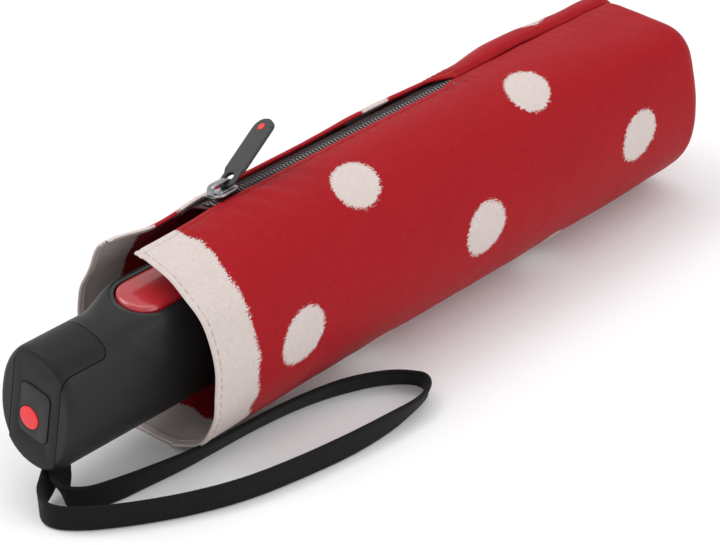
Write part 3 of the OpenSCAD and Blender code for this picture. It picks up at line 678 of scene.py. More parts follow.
def lips_and_flaps(x, round_it):
    """How far the cloth stands out beside the zip and at the mouth."""
    edge, near, far = np.abs(round_it), round_it > 0, round_it < 0
    # Two layers of cloth are folded over along the zip; the far side stands proud as a soft lip
    along_zip = ramp(x, MOUTH_X + 14, MOUTH_X + 36)
    rise = along_zip * (1.9 * hill(edge, 4.5, 5) * far - 0.35 * hill(edge, 3.5, 7) * near)
    # Beyond the lip the far side stands up in two soft folds
    rise = rise + hill(round_it, -13, 12) * far * (2.6 * hill(x, 88, 20) + 1.2 * hill(x, 20, 22))
    # The two flaps spread at the mouth: the far one curls away from the handle
    mouth = 1 - ramp(x, MOUTH_X, MOUTH_X + 34)
    rise = rise + mouth ** 1.6 * (4.6 * hill(round_it, -7, 11) * far + 0.6 * hill(round_it, 5, 10) * near)
    rim_wave = np.sin(round_it * 0.16 + 1.0) + 0.6 * np.sin(round_it * 0.37)
    return rise + 0.35 * mouth ** 2 * rim_wave


def creases(x, angle, round_it):
    """Soft unevenness, creases that run off the zip's end, and puckers on the side of the strap."""
    edge = np.abs(round_it)
    where = np.stack([x, CASE_RADIUS * np.cos(angle), CASE_RADIUS * np.sin(angle)], -1)
    calm = 0.25 + 0.75 * ramp(edge, 3, 16)
    rise = calm * (0.6 * soft_noise(where * [0.55, 1, 1], 24) + 0.15 * soft_noise(where, 7, 5.0))
    slanted = np.stack([x * 0.35 + round_it * 0.4, round_it * 0.25 - x * 0.1, 0 * x], -1)
    past_zip = ramp(x, CHAIN_END_X - 10, CHAIN_END_X + 20)
    rise = rise + 0.45 * soft_noise(slanted, 5, 9.0) * past_zip * hill(edge, 0, 34)
    pucker = np.sin(x * 1.05 + 1.6 * np.sin(x * 0.21)) * hill(edge, ZIP_STITCH + 3, 3.2)
    rise = rise + 0.12 * pucker * ramp(x, MOUTH_X + 30, SLIT_X + 12) * (round_it > 0)
    dragged = np.sin(x * 0.62 - round_it * 0.22) * hill(round_it, 12, 8)
    return rise + 0.24 * dragged * hill(x, SLIDER_X + 6, 24)


def pulled_in(x, round_it):
    """Stitched lines pull the cloth in: beside the zip, along the hem and at the two sewn seams."""
    edge = np.abs(round_it)
    side = np.where(round_it > 0, slit_edge(x, 1), slit_edge(x, -1))
    before_end = 1 - ramp(x, CHAIN_END_X + 4, CHAIN_END_X + 6)
    beside_zip = hill(edge, side + ZIP_STITCH, 0.55) * before_end
    hem = hill(x, MOUTH_X + HEM_STITCH, 0.5)
    ring_seam = hill(x, MOUTH_SEAM_X, 0.35) + 0.5 * ramp(x, MOUTH_SEAM_X - 1.6, MOUTH_SEAM_X)
    closed_seam = hill(edge, 0, 0.7) * ramp(x, CHAIN_END_X, CHAIN_END_X + 5)
    return 0.9 * beside_zip + 0.55 * hem + 0.5 * ring_seam + 2.6 * closed_seam


def case_surface(length, round_it, depth=0.0):
    """Points of the case: length runs along the cloth from the mouth, round_it goes round it from the
    zip line, and depth is measured inwards from its outer face. All in millimetres."""
    length, round_it = np.broadcast_arrays(np.asarray(length, float), np.asarray(round_it, float))
    straight = CASE_END_X - CASE_CORNER - MOUTH_X
    turn = np.clip((length - straight) / CASE_CORNER, 0, math.pi / 2)
    x = MOUTH_X + np.minimum(length, straight) + CASE_CORNER * np.sin(turn)
    shrink = CASE_CORNER * (1 - np.cos(turn))
    angle = round_it / CASE_RADIUS - ZIP_TILT
    full = ramp(x, MOUTH_X, MOUTH_X + 45)
    lean = ramp(x, MOUTH_X, MOUTH_X + 70) + 0.9 * ramp(x, 20, CASE_END_X)
    radius = CASE_RADIUS - 1.0 * (1 - full) + lips_and_flaps(x, round_it)
    # On the side of the strap the mouth reaches further over the handle
    x = x - MOUTH_REACH * hill(round_it, 62, 36) * (1 - ramp(x, MOUTH_SEAM_X, MOUTH_SEAM_X + 50))
    radius = radius + facets(angle, ramp(x, 62, CASE_END_X - 6)) + creases(x, angle, round_it)
    inwards = depth + SEAM_DEPTH * pulled_in(x, round_it)

    # The underside lies flat on the floor
    down = -np.cos(angle)
    axis_z = AXIS_Z + (CASE_AXIS_Z - AXIS_Z) * full
    floor = np.where(down > 0.2, (axis_z - 0.08) / np.maximum(down, 0.2), 1e3)
    radius = smooth_step_min(radius, floor, 2.5) - shrink
    radius = radius - inwards * np.cos(turn)
    x = x - inwards * np.sin(turn)
    return np.stack([x, 0.75 * lean - radius * np.sin(angle), axis_z + radius * np.cos(angle)], -1)


def spaced(stops):
    """Positions that run through [position, step] stops, each stretch at its own step."""
    values = []
    for (start, step), (end, _) in zip(stops, stops[1:]):
        count = max(1, round((end - start) / step))
        values.extend(np.linspace(start, end, count, endpoint=False))
    return np.array([*values, stops[-1][0]])


def case_lengths():
    """Positions along the cloth, closer together where it is sewn or bends."""
    straight = CASE_END_X - CASE_CORNER - MOUTH_X
    ring = MOUTH_SEAM_X - MOUTH_X
    end_of_slit = CHAIN_END_X - MOUTH_X
    return spaced([[0, 0.35], [HEM_STITCH + 1.4, 1.1], [ring - 2, 0.3], [ring + 1.2, 1.5],
                   [end_of_slit - 8, 0.7], [end_of_slit + 8, 1.5], [straight, 1.1],
                   [straight + CASE_CORNER * END_PROFILE, 1]])


def edge_steps():
    """Distances in from the cloth's edge, closer together at the edge and at the stitched line."""
    return spaced([[0, 0.35], [ZIP_STITCH + 1.4, 0.9], [12, 1]])


def make_case(materials):
    lengths = case_lengths()
    x = MOUTH_X + lengths
    near, far = slit_edge(x, 1), slit_edge(x, -1)
    steps = edge_steps()
    middle = np.linspace(0, 1, 112)[1:-1]
    rows = []
    for i in range(len(lengths)):
        start, end = near[i], 2 * HALF_TURN - far[i]
        inner = start + steps[-1] + (end - start - 2 * steps[-1]) * middle
        rows.append(np.concatenate([start + steps, inner, (end - steps)[::-1]]))
    round_it = np.array(rows)
    round_it = np.where(round_it > HALF_TURN, round_it - 2 * HALF_TURN, round_it)
    along = np.repeat(lengths[:, None], round_it.shape[1], 1)
    n_rows, n_columns = round_it.shape

    outer = case_surface(along, round_it, 0.0)
    inner = case_surface(along, round_it, CASE_WALL)
    points = np.concatenate([outer.reshape(-1, 3), inner.reshape(-1, 3)])
    uv = np.stack([along + MOUTH_X, round_it], -1).reshape(-1, 2)
    uv = np.concatenate([uv, uv])
    half = n_rows * n_columns
    faces = shell_faces(n_rows, n_columns)

    # The folded edges are rounded: one more ring of points stands out between the two faces
    def edge_ring(indices, outward):
        nonlocal points, uv, faces
        ends = points[indices], points[np.asarray(indices) + half]
        bulge = (ends[0] + ends[1]) / 2 + outward * CASE_WALL * 0.35
        start = len(points)
        points = np.concatenate([points, bulge])
        uv = np.concatenate([uv, uv[indices]])
        for k in range(len(indices) - 1):
            a, b, m, n = indices[k], indices[k + 1], start + k, start + k + 1
            faces += [(a, b, n, m), (m, n, b + half, a + half)]

    index = np.arange(half).reshape(n_rows, n_columns)
    towards = outer[:, :1] - outer[:, 1:2]
    towards_far = outer[:, -1:] - outer[:, -2:-1]
    edge_ring(list(index[0]), np.array([-1.0, 0, 0]))
    edge_ring(list(index[:, 0]), (towards / np.linalg.norm(towards, axis=-1, keepdims=True))[:, 0])
    edge_ring(list(index[:, -1]), (towards_far / np.linalg.norm(towards_far, axis=-1, keepdims=True))[:, 0])
    edge_ring(list(index[-1]), np.array([0.6, 0, 0]))
    case = make_object("case_cloth", points, faces, materials["case"], 60, uv)
    finish_piece(case, "case", "case_cloth", "case_mouth", "case_body", "case_end", "mouth_hem")
    return case


def make_end_panel(materials):
    """The round panel sewn into the case's closed end, a little domed, with soft radial creases."""
    seam = CASE_END_X - CASE_CORNER - MOUTH_X + CASE_CORNER * END_PROFILE
    turns = np.linspace(-HALF_TURN, HALF_TURN, 120, endpoint=False)
    rim = case_surface(np.full(120, seam), turns, 0.5)
    centre = rim.mean(0)
    shares = np.concatenate([[1.0, 0.985, 0.96], np.linspace(0.92, 0.06, 16)])
    layers = []
    for depth in (0.0, 1.0):
        for share in shares:
            ring = centre + (rim - centre) * share
            fold = 0.35 * np.sin(turns * 0.28) * share ** 2 * (1 - share) * 4
            rise = 1.9 * (1 - share ** 2) + 0.5 * (1 - ramp(share, 0.94, 1.0)) + fold
            ring[:, 0] = rim[:, 0] + (centre[0] - rim[:, 0]) * (1 - share) + rise - depth
            layers.append(ring)
    outer = np.concatenate(layers[:len(shares)])
    inner = np.concatenate(layers[len(shares):])
    points = np.concatenate([outer, outer[-120:].mean(0)[None], inner, inner[-120:].mean(0)[None]])
    half = len(outer) + 1
    faces = grid_faces(len(shares), 120, close_columns=True)
    last = (len(shares) - 1) * 120
    faces += [(last + j, last + (j + 1) % 120, half - 1) for j in range(120)]
    faces += [tuple(half + v for v in reversed(f)) for f in faces]
    faces += border_faces(list(range(120)), half)
    uv = np.stack([points[:, 1] + 45.0, points[:, 2] + 95.0], -1)
    panel = make_object("case_end_panel", points, faces, materials["case"], 60, uv)
    finish_piece(panel, "case", "case_cloth")
    return panel


def stitches(name, places, towards_out, pitch, size, material):
    """Thread laid along a line: a row of short rounded stitches, each half sunk in the cloth."""
    places = np.asarray(places, float)
    travelled = np.concatenate([[0], np.cumsum(np.linalg.norm(np.diff(places, axis=0), axis=1))])
    middles = np.arange(pitch / 2, travelled[-1], pitch)
    at = np.stack([np.interp(middles, travelled, places[:, k]) for k in range(3)], -1)
    ahead = np.stack([np.interp(middles + 0.3, travelled, places[:, k]) for k in range(3)], -1)
    behind = np.stack([np.interp(middles - 0.3, travelled, places[:, k]) for k in range(3)], -1)
    out = np.stack([np.interp(middles, travelled, np.asarray(towards_out)[:, k]) for k in range(3)], -1)
    points, faces = [], []
    length, thick = size
    rings = [(-1.0, 0.35), (-0.75, 0.85), (0.0, 1.0), (0.75, 0.85), (1.0, 0.35)]
    for centre, a, b, up in zip(at, ahead, behind, out):
        along = (a - b) / np.linalg.norm(a - b)
        up = up / np.linalg.norm(up)
        aside = np.cross(along, up)
        start = len(points)
        for step, width in rings:
            for turn in range(6):
                c, s = math.cos(turn * math.pi / 3), math.sin(turn * math.pi / 3)
                points.append(centre + along * step * length / 2 + (aside * c + up * s) * thick * width)
        faces += grid_faces(len(rings), 6, start, True)
        faces += [tuple(start + k for k in range(5, -1, -1)), tuple(start + 24 + k for k in range(6))]
    return make_object(name, points, faces, material, 80)


def surface_line(lengths, round_it, depth):
    """Points along a line on the case, and the directions that point out of it there."""
    places = case_surface(lengths, round_it, depth)
    out = places - case_surface(lengths, round_it, depth + 1.0)
    return places, out


def make_case_stitches(materials):
    hem_round = np.concatenate([np.linspace(slit_edge(MOUTH_X, 1) + ZIP_STITCH, HALF_TURN, 160),
                                np.linspace(-HALF_TURN, -slit_edge(MOUTH_X, -1) - ZIP_STITCH, 160)])
    places, out = surface_line(np.full(320, HEM_STITCH), hem_round, 0.02)
    hem = stitches("hem_stitching", places, out, 3.0, (2.1, 0.2), materials["thread"])
    finish_piece(hem, "case", "hem_cloth")
    for side, name in ((1, "near"), (-1, "far")):
        for start, end, colour in ((HEM_STITCH, BAND_WIDTH - 1, "thread"),
                                   (BAND_WIDTH, CHAIN_END_X + 5 - MOUTH_X, "red_thread")):
            lengths = np.linspace(start, end, 240)
            round_it = side * (slit_edge(np.minimum(MOUTH_X + lengths, CHAIN_END_X - 9), side) + ZIP_STITCH)
            places, out = surface_line(lengths, round_it, 0.02)
            row = stitches(f"zip_stitching_{name}_{colour}", places, out, 2.6, (1.9, 0.16), materials[colour])
            finish_piece(row, "case", "case_cloth")
    near_end, far_end = (slit_edge(CHAIN_END_X - 9, side) + ZIP_STITCH for side in (1, -1))
    across = np.linspace(-far_end, near_end, 30)
    places, out = surface_line(np.full(30, CHAIN_END_X + 5 - MOUTH_X), across, 0.05)
    end_row = stitches("zip_stitching_end", places, out, 2.4, (1.8, 0.16), materials["red_thread"])
    finish_piece(end_row, "case", "case_cloth")


# ---------------------------------------------------------------- zip

TOOTH_PITCH = 1.5
CHAIN_HALF = 2.85
CHAIN_RADIUS = 32.3
CHAIN_TILT = math.tan(math.radians(7))
TAPE_HALF = 9.0


def chain_place(x, y, sunk=0.0):
    """A place in the zip's own surface, which leans a little towards the strap. y is away from it."""
    x, y = np.broadcast_arrays(np.asarray(x, float), np.asarray(y, float))
    drop = np.sqrt(CHAIN_RADIUS ** 2 - y ** 2) - CHAIN_RADIUS
    return in_zip(np.stack([x, y, CHAIN_RADIUS + CHAIN_TILT * y + drop - sunk], -1))


def make_teeth(name, positions, side, materials):
    """A row of coil teeth, each a rounded bar across the zip with a raised head at its inner end, and
    a near-black strip under them: the coil's dark cord, with painted shade that darkens the gaps between the
    teeth."""
    points, faces = [], []
    stations = [(0.0, 0.45), (0.1, 0.85), (0.24, 1.0), (0.4, 0.86), (0.62, 0.76), (0.85, 0.72), (1.0, 0.5)]
    for x in positions:
        start = len(points)
        for share, size in stations:
            centre = chain_place(x, side * (-0.35 + (CHAIN_HALF + 0.35) * share))
            for turn in range(10):
                c, s = math.cos(turn * math.pi / 5), math.sin(turn * math.pi / 5)
                points.append(centre + np.array([1.0, 0, 0]) * c * 0.37 * size + ZIP_OUT * s * 0.62 * size)
        faces += grid_faces(len(stations), 10, start, True)
        faces += [tuple(start + v for v in range(9, -1, -1)),
                  tuple(start + (len(stations) - 1) * 10 + v for v in range(10))]
    tooth_faces = len(faces)
    # The near-black strip under the teeth: the coil's dark cord, and painted shade that darkens the gaps
    # between them
    start = len(points)
    rows = [chain_place(x, side * np.array([0.2, 2.5, 2.5, 0.2]), np.array([0.22, 0.22, 0.7, 0.7]))
            for x in (positions[0], *positions[1:-1:2], positions[-1])]
    points = np.concatenate([points, *rows])
    faces += grid_faces(len(rows), 4, start, True)
    faces += [tuple(start + v for v in (3, 2, 1, 0)), tuple(len(points) - 4 + v for v in range(4))]
    teeth = make_object(name, points, faces, materials["teeth"], 60)
    teeth.data.materials.append(materials["cord_and_gap_shade"])
    for face in teeth.data.polygons[tooth_faces:]:
        face.material_index = 1
    return teeth


def make_tape(name, side, materials):
    """One half of the zip's tape: it runs from under the teeth to behind the sewn cloth."""
    positions = np.linspace(CHAIN_START_X - 1, CHAIN_END_X + 2.5, 110)[:, None]
    steps = side * np.array([0.18, 0.4, 1.5, 3, 4.2, 5.5, 7, 8.4, TAPE_HALF])
    layers = [chain_place(positions, steps, sunk).reshape(-1, 3) for sunk in (0.75, 1.2)]
    rows, columns = len(positions), len(steps)
    count = rows * columns
    faces = shell_faces(rows, columns)
    index = np.arange(count).reshape(rows, columns)
    border = [*index[0], *index[1:, -1], *index[-1, -2::-1], *index[-2:0:-1, 0]]
    faces += border_faces(border, count)
    return make_object(name, np.concatenate(layers), faces, materials["tape"], 60)


def make_zip(materials):
    for side, name in ((1, "left"), (-1, "right")):
        shift = 0 if side > 0 else TOOTH_PITCH / 2
        positions = np.arange(CHAIN_START_X + shift, CHAIN_END_X - 0.3, TOOTH_PITCH)
        teeth = make_teeth(f"zip_chain_{name}", positions, side, materials)
        finish_piece(teeth, "case", "zip_coil", f"zip_coil_{name}")
        anchor = in_zip([0, side * (CHAIN_HALF + 0.3), CHAIN_RADIUS]) * MM
        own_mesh(teeth)
        tape = make_tape(f"zip_tape_cloth_{name}", side, materials)
        finish_piece(tape, "case", "zip_tape", f"zip_tape_{name}")
    stop = prism("zip_end_stop", rounded_rectangle(2.2, 4.4, 0.5), -0.7, 0.7, materials["teeth"],
                 lambda p: in_zip(p + [CHAIN_END_X + 1.4, 0, CHAIN_RADIUS - 2.6]))
    soften(stop, 0.25)
    finish_piece(stop, "case", "slider_metal", "zip_stops")


SLIDER_LENGTH, SLIDER_MIDDLE = 11.0, SLIDER_X + 1.75
PLATE_LEVELS = [CASE_RADIUS + level for level in (-4.3, -3.4, 0.4, 1.6)]
PULL_PIN = np.array([SLIDER_X + 3.5, 0, PLATE_LEVELS[3] + 1.2])
PULL_LIFT = math.radians(28)
PULL_LENGTH = 27.0
PADDLE_HALF = 4.25


def on_pull(points):
    """From the pull's frame, X along the tab from its crossbar and Z out of its upper face."""
    p = np.asarray(points, float)
    c, s = math.cos(PULL_LIFT), math.sin(PULL_LIFT)
    turned = np.stack([p[..., 0] * c - p[..., 2] * s, p[..., 1], p[..., 0] * s + p[..., 2] * c], -1)
    return in_zip(turned + PULL_PIN)


def slider_outline(half_front, half_back, length):
    """Wide where the two open rows enter, narrow where the closed chain leaves."""
    t = np.linspace(0, 1, 19)
    x = -length / 2 + length * t
    half = half_front + (half_back - half_front) * ramp(t, 0.2, 0.8)
    rounding = np.sqrt(np.clip(1 - (np.abs(2 * t - 1)) ** 5, 0, 1))
    half = np.maximum(half * rounding, 0.5)
    return np.concatenate([np.stack([x, half], -1), np.stack([x, -half], -1)[::-1]])[::-1]


def make_slider(materials):
    def at(points):
        return in_zip(points + [SLIDER_MIDDLE, 0, 0])

    low, low_top, high, high_top = PLATE_LEVELS
    metal = materials["slider"]
    plate = slider_outline(4.0, 3.3, SLIDER_LENGTH)
    body = prism("zip_slider_body", plate, high, high_top, metal, at)
    soften(body, 0.5, 4)
    finish_piece(body, "zip_slider", "slider_metal", "zip_slider")
    lower = prism("zip_slider_lower_plate", plate, low, low_top, metal, at)
    soften(lower, 0.35, 3)
    neck = prism("zip_slider_neck", stadium(1.2, 0.7, 10), low_top - 0.2, high + 0.2, metal,
                 lambda p: at(p + [-3.9, 0, 0]))
    ridge = prism("zip_slider_ridge", slider_outline(2.5, 2.1, 8.4), high_top - 0.3, high_top + 0.35,
                  metal, at)
    soften(ridge, 0.3, 3)
    arch = smooth_route([[-3.2, high_top - 0.5], [-3.1, high_top + 0.9], [-2.5, high_top + 2.2],
                         [-1.2, high_top + 2.8], [1.0, high_top + 2.85], [3.2, high_top + 2.8],
                         [4.8, high_top + 2.2], [5.5, high_top + 0.9], [5.6, high_top - 0.5]], 6)
    path = np.column_stack([arch[:, 0] + SLIDER_X, 0 * arch[:, 0], arch[:, 1]])
    turns = np.linspace(0, 2 * math.pi, 20, endpoint=False)
    flat = np.stack([1.5 * np.sign(np.cos(turns)) * np.abs(np.cos(turns)) ** 0.5,
                     0.5 * np.sign(np.sin(turns)) * np.abs(np.sin(turns)) ** 0.6], -1)
    bail = sweep("zip_slider_bail", in_zip(path), [ZIP_SIDEWAYS] * len(path), flat, metal)
    for piece in (lower, neck, ridge, bail):
        finish_piece(piece, "zip_slider", "slider_metal")


def pull_half_width(s):
    """Half width of the pull at a distance from its crossbar: an eye, a shallow waist and the paddle."""
    eye = 3.5 * np.sqrt(np.clip(1 - np.clip((0.9 - s) / 2.1, 0, 1) ** 2, 0, 1))
    half = eye + (PADDLE_HALF - 3.5) * ramp(s, 4.2, 6.6)
    tip = np.clip((s - (PULL_LENGTH - PADDLE_HALF + 0.3)) / (PADDLE_HALF - 0.3), 0, 1)
    return half * np.sqrt(np.clip(1 - tip ** 2.2, 0, 1))


def make_pull(materials):
    # One outline for the whole tab; its thickness swells from the thin eye to the padded paddle
    ends = 1 - np.cos(np.linspace(0, math.pi / 2, 9))
    s = np.concatenate([-0.8 + 1.6 * ends, np.linspace(0.8, PULL_LENGTH - 5, 60)[1:],
                        PULL_LENGTH - 5 * (ends[::-1])[1:]])
    half = np.maximum(pull_half_width(s), 0.05)
    thick = 0.62 + 0.33 * ramp(s, 4.4, 6.0)
    angles = np.linspace(0, 2 * math.pi, 40, endpoint=False)
    across = np.sign(np.cos(angles)) * np.abs(np.cos(angles)) ** 0.34
    level = np.sign(np.sin(angles)) * np.abs(np.sin(angles)) ** 0.34
    rings = [np.stack([np.full(40, at), across * width, level * height * min(1, 0.2 + width / 1.5)], -1)
             for at, width, height in zip(s, half, thick)]
    faces = grid_faces(len(rings), 40, close_columns=True)
    faces += [tuple(range(39, -1, -1)), tuple(range((len(rings) - 1) * 40, len(rings) * 40))]
    tab = make_object("zip_pull_tab", on_pull(np.concatenate(rings)), faces, materials["rubber"], 50)
    eye = stadium(2.0, 1.75, 16)[:, ::-1] * [1.08, 1.0] + [2.75, 0]
    cut(tab, tool(eye, -3, 3, on_pull))
    soften(tab, 0.16, 2, 50)
    finish_piece(tab, "zip_pull", "pull_rubber", "zip_pull")
    mark = prism("zip_pull_mark", circle_section(1.3, 32), 0.85, 1.08, materials["mark"],
                 lambda p: on_pull(p + [PULL_LENGTH - 3.6, 0, 0]))
    soften(mark, 0.06, 2)
    finish_piece(mark, "zip_pull", "pull_red", "pull_mark")


# ---------------------------------------------------------------- handle

HANDLE_HALF_WIDTH, HANDLE_HALF_HEIGHT, OVAL_POWER = 15.8, 21.0, 2.25
STRIP_HALF, TONGUE_LENGTH, TONGUE_CORNER, STRIP_DEEP = 9.7, 19.0, 3.0, 2.4
GRIP_ROUNDING, STRIP_ROUNDING = (3.8, 2.9), (2.4, 1.9)
GAP_LINE = 0.28
BUTTON_HALF, BUTTON_Y = (13.5, 8.2), 1.0
BUTTON_TOP, COLLAR_TOP, COLLAR_RIM = 23.2, 22.2, 1.85
MOUND_SPREAD = 8.5
BADGE_MIDDLE, BADGE_DOT, BADGE_DOT_RADIUS = [0, -0.6], [1.7, -3.4], 3.8
FAR = 60.0
HANDLE_SHIFT = [0, 1.0, 0.3]


def in_handle(points):
    """From the handle's own frame; the handle sits a little off the shaft's axis."""
    return in_umbrella(np.asarray(points, float) + HANDLE_SHIFT)


def handle_solid(name, material, rounding):
    """The oval handle, swollen up to the rim round the push button. rounding says how far the curve of
    its end edge reaches along the handle and across it."""
    turn = np.linspace(0, math.pi / 2, 9)
    inset_at = rounding[0] * (1 - np.cos(turn))
    inset = rounding[1] * (1 - np.sin(turn))
    x = np.concatenate([inset_at, np.linspace(rounding[0], HANDLE_FRONT_X - HANDLE_END_X, 108)[1:]])
    inset = np.concatenate([inset, np.zeros(107)])
    angles = np.linspace(0, 2 * math.pi, 176, endpoint=False)
    c, s = np.cos(angles), np.sin(angles)
    y = (HANDLE_HALF_WIDTH - inset)[:, None] * np.sign(c) * np.abs(c) ** (2 / OVAL_POWER)
    z = (HANDLE_HALF_HEIGHT - inset)[:, None] * np.sign(s) * np.abs(s) ** (2 / OVAL_POWER)
    along = np.repeat(x[:, None] + HANDLE_END_X, len(angles), 1)
    half_x, half_y = BUTTON_HALF[0] + COLLAR_RIM, BUTTON_HALF[1] + COLLAR_RIM
    past_end = np.maximum(np.abs(along - BUTTON_X) - (half_x - half_y), 0)
    distance = np.sqrt(past_end ** 2 + (y - BUTTON_Y) ** 2) - half_y
    rise = (1 - ramp(distance, -0.5, MOUND_SPREAD)) * (z > 0)
    z = z + np.maximum(COLLAR_TOP - 0.15 - z, 0) * rise ** 1.35
    points = in_handle(np.stack([along, y, z], -1).reshape(-1, 3))
    faces = grid_faces(len(x), len(angles), close_columns=True)
    last = (len(x) - 1) * len(angles)
    faces += [tuple(range(len(angles) - 1, -1, -1)), tuple(range(last, last + len(angles)))]
    return make_object(name, points, faces, material, 30)


def box_tool(low, high):
    low, high = np.array(low, float), np.array(high, float)
    outline = [[low[0], low[1]], [high[0], low[1]], [high[0], high[1]], [low[0], high[1]]]
    return tool(outline, low[2], high[2], in_handle)


def strip_tools(grow):
    """The solids that mark out the strip: a band down the handle's end and a tongue along its top."""
    half = STRIP_HALF + grow
    band = box_tool([HANDLE_END_X - 5, -half, -FAR], [HANDLE_END_X + STRIP_DEEP + grow, half, FAR])
    outline = rounded_rectangle(TONGUE_LENGTH + 8 + 2 * grow, 2 * half, TONGUE_CORNER + grow)
    tongue = tool(outline + [HANDLE_END_X + TONGUE_LENGTH / 2 - 4, 0],
                  HANDLE_HALF_HEIGHT - 6 - grow, FAR, in_handle)
    return band, tongue


def slot_tool(grow):
    half_x, half_y = STRAP_WIDTH / 2 + 0.2 + grow, 3.4 + grow
    x = STRAP_ROUTE[0][0]
    return tool(rounded_rectangle(2 * half_x, 2 * half_y, 1.2) + [x, 0], -10, 16 + grow, lambda p: p)


def make_handle(materials):
    shell = handle_solid("handle_grip", materials["grip"], GRIP_ROUNDING)
    for solid in strip_tools(GAP_LINE):
        cut(shell, solid)
    well = stadium(BUTTON_HALF[0] + 1.9, BUTTON_HALF[1] + 1.9) + [BUTTON_X, BUTTON_Y]
    cut(shell, tool(well, 12.8, FAR, in_handle))
    cut(shell, slot_tool(0))
    cut(shell, tool(circle_section(7.0, 64), HANDLE_END_X + 8, HANDLE_FRONT_X + 5, in_umbrella, "yzx"))
    soften(shell, 0.18, 2, 38)
    finish_piece(shell, "handle", "handle_grip", "handle_shell")

    strip = handle_solid("handle_end_strip", materials["strip"], STRIP_ROUNDING)
    band, tongue = strip_tools(0)
    cut(band, tongue, "UNION")
    cut(strip, band, "INTERSECT")
    recess = rounded_rectangle(12.4, 18.6, 2.5) + BADGE_MIDDLE
    cut(strip, tool(recess, HANDLE_END_X - 5, HANDLE_END_X + 0.75, in_handle, "yzx"))
    cut(strip, slot_tool(0.1))
    soften(strip, 0.18, 2, 38)
    finish_piece(strip, "handle", "handle_strip", "end_strip")

    badge = prism("badge_tablet", rounded_rectangle(12, 18.2, 2.4) + BADGE_MIDDLE, HANDLE_END_X - 0.3,
                  HANDLE_END_X + 0.7, materials["badge"], in_handle, "yzx")
    socket = circle_section(BADGE_DOT_RADIUS + 0.15, 48) + BADGE_DOT
    cut(badge, tool(socket, HANDLE_END_X - 5, HANDLE_END_X + 0.1, in_handle, "yzx"))
    soften(badge, 0.16, 3)
    finish_piece(badge, "handle", "badge_black", "badge_plate")
    dot = prism("badge_dot_button", circle_section(BADGE_DOT_RADIUS, 64) + BADGE_DOT,
                HANDLE_END_X - 0.55, HANDLE_END_X + 0.05, materials["dot"], in_handle, "yzx")
    soften(dot, 0.22, 4)
    finish_piece(dot, "handle", "badge_red", "badge_dot")

    def place(points):
        return in_handle(points + [BUTTON_X, BUTTON_Y, 0])

    collar = prism("button_collar_ring", stadium(BUTTON_HALF[0] + 1.8, BUTTON_HALF[1] + 1.8, 32), 13.0, 22.0,
                   materials["collar"], place)
    cut(collar, tool(stadium(BUTTON_HALF[0] + 0.35, BUTTON_HALF[1] + 0.35, 32), 13.8, FAR, place))
    soften(collar, 0.3, 3)
    finish_piece(collar, "handle", "moulded_black", "button_collar")
    button = button_cap("push_button_cap", materials["button"], place)
    finish_piece(button, "push_button", "button_red", "push_button")


def button_cap(name, material, place):
    """A slot-shaped cap with a softly crowned top and a rounded shoulder, hollow underneath."""
    profile = [(0.0, 17.0), (0.0, 20.9), (0.12, 21.9), (0.5, 22.55), (1.1, 22.85), (2.2, 23.0), (3.8, 23.1),
               (5.6, 23.17), (7.2, BUTTON_TOP)]
    count = 40
    rings = [np.column_stack([stadium(BUTTON_HALF[0] - i, max(BUTTON_HALF[1] - i, 0.05), count),
                              np.full(2 * count, level)]) for i, level in profile]
    under = [(1.5, 21.9), (1.5, 17.0)]
    rings += [np.column_stack([stadium(BUTTON_HALF[0] - i, BUTTON_HALF[1] - i, count),
                               np.full(2 * count, level)]) for i, level in under]
    outside = len(profile)
    points = np.concatenate(rings)
    columns = 2 * count
    faces = grid_faces(outside, columns, close_columns=True)
    top = (outside - 1) * columns
    faces.append(tuple(range(top, top + columns)))
    faces += grid_faces(2, columns, outside * columns, True)
    faces.append(tuple(range(outside * columns + columns - 1, outside * columns - 1, -1)))
    rim = (outside + 1) * columns
    faces += [(rim + j, rim + (j + 1) % columns, (j + 1) % columns, j) for j in range(columns)]
    return make_object(name, place(points), faces, material, 50)


# ---------------------------------------------------------------- folded canopy

CANOPY_RADIUS = 26.3
PANELS = 8
FOLD_STEP = 1.25


def canopy_radius(x, angle):
    """Eight panels wrapped round the ribs one over the next, their edges running slowly round."""
    turns = (angle / (2 * math.pi) * PANELS + (x - CANOPY_FRONT_X) / 150.0) % 1.0
    lap = turns ** 0.8
    edge = np.exp(-((1 - turns) / 0.06) ** 2)
    radius = CANOPY_RADIUS - FOLD_STEP * (1 - lap) - 0.15 * edge
    where = np.stack([x * 0.25, radius * np.cos(angle), radius * np.sin(angle)], -1)
    radius = radius - 0.45 * (1 + soft_noise(where, 9, 3.0)) * 0.5
    tie = ramp(x, TIE_SPAN[0] - 9, TIE_SPAN[0]) * (1 - ramp(x, TIE_SPAN[1], TIE_SPAN[1] + 9))
    waist = 0.9 * tie
    return radius - waist


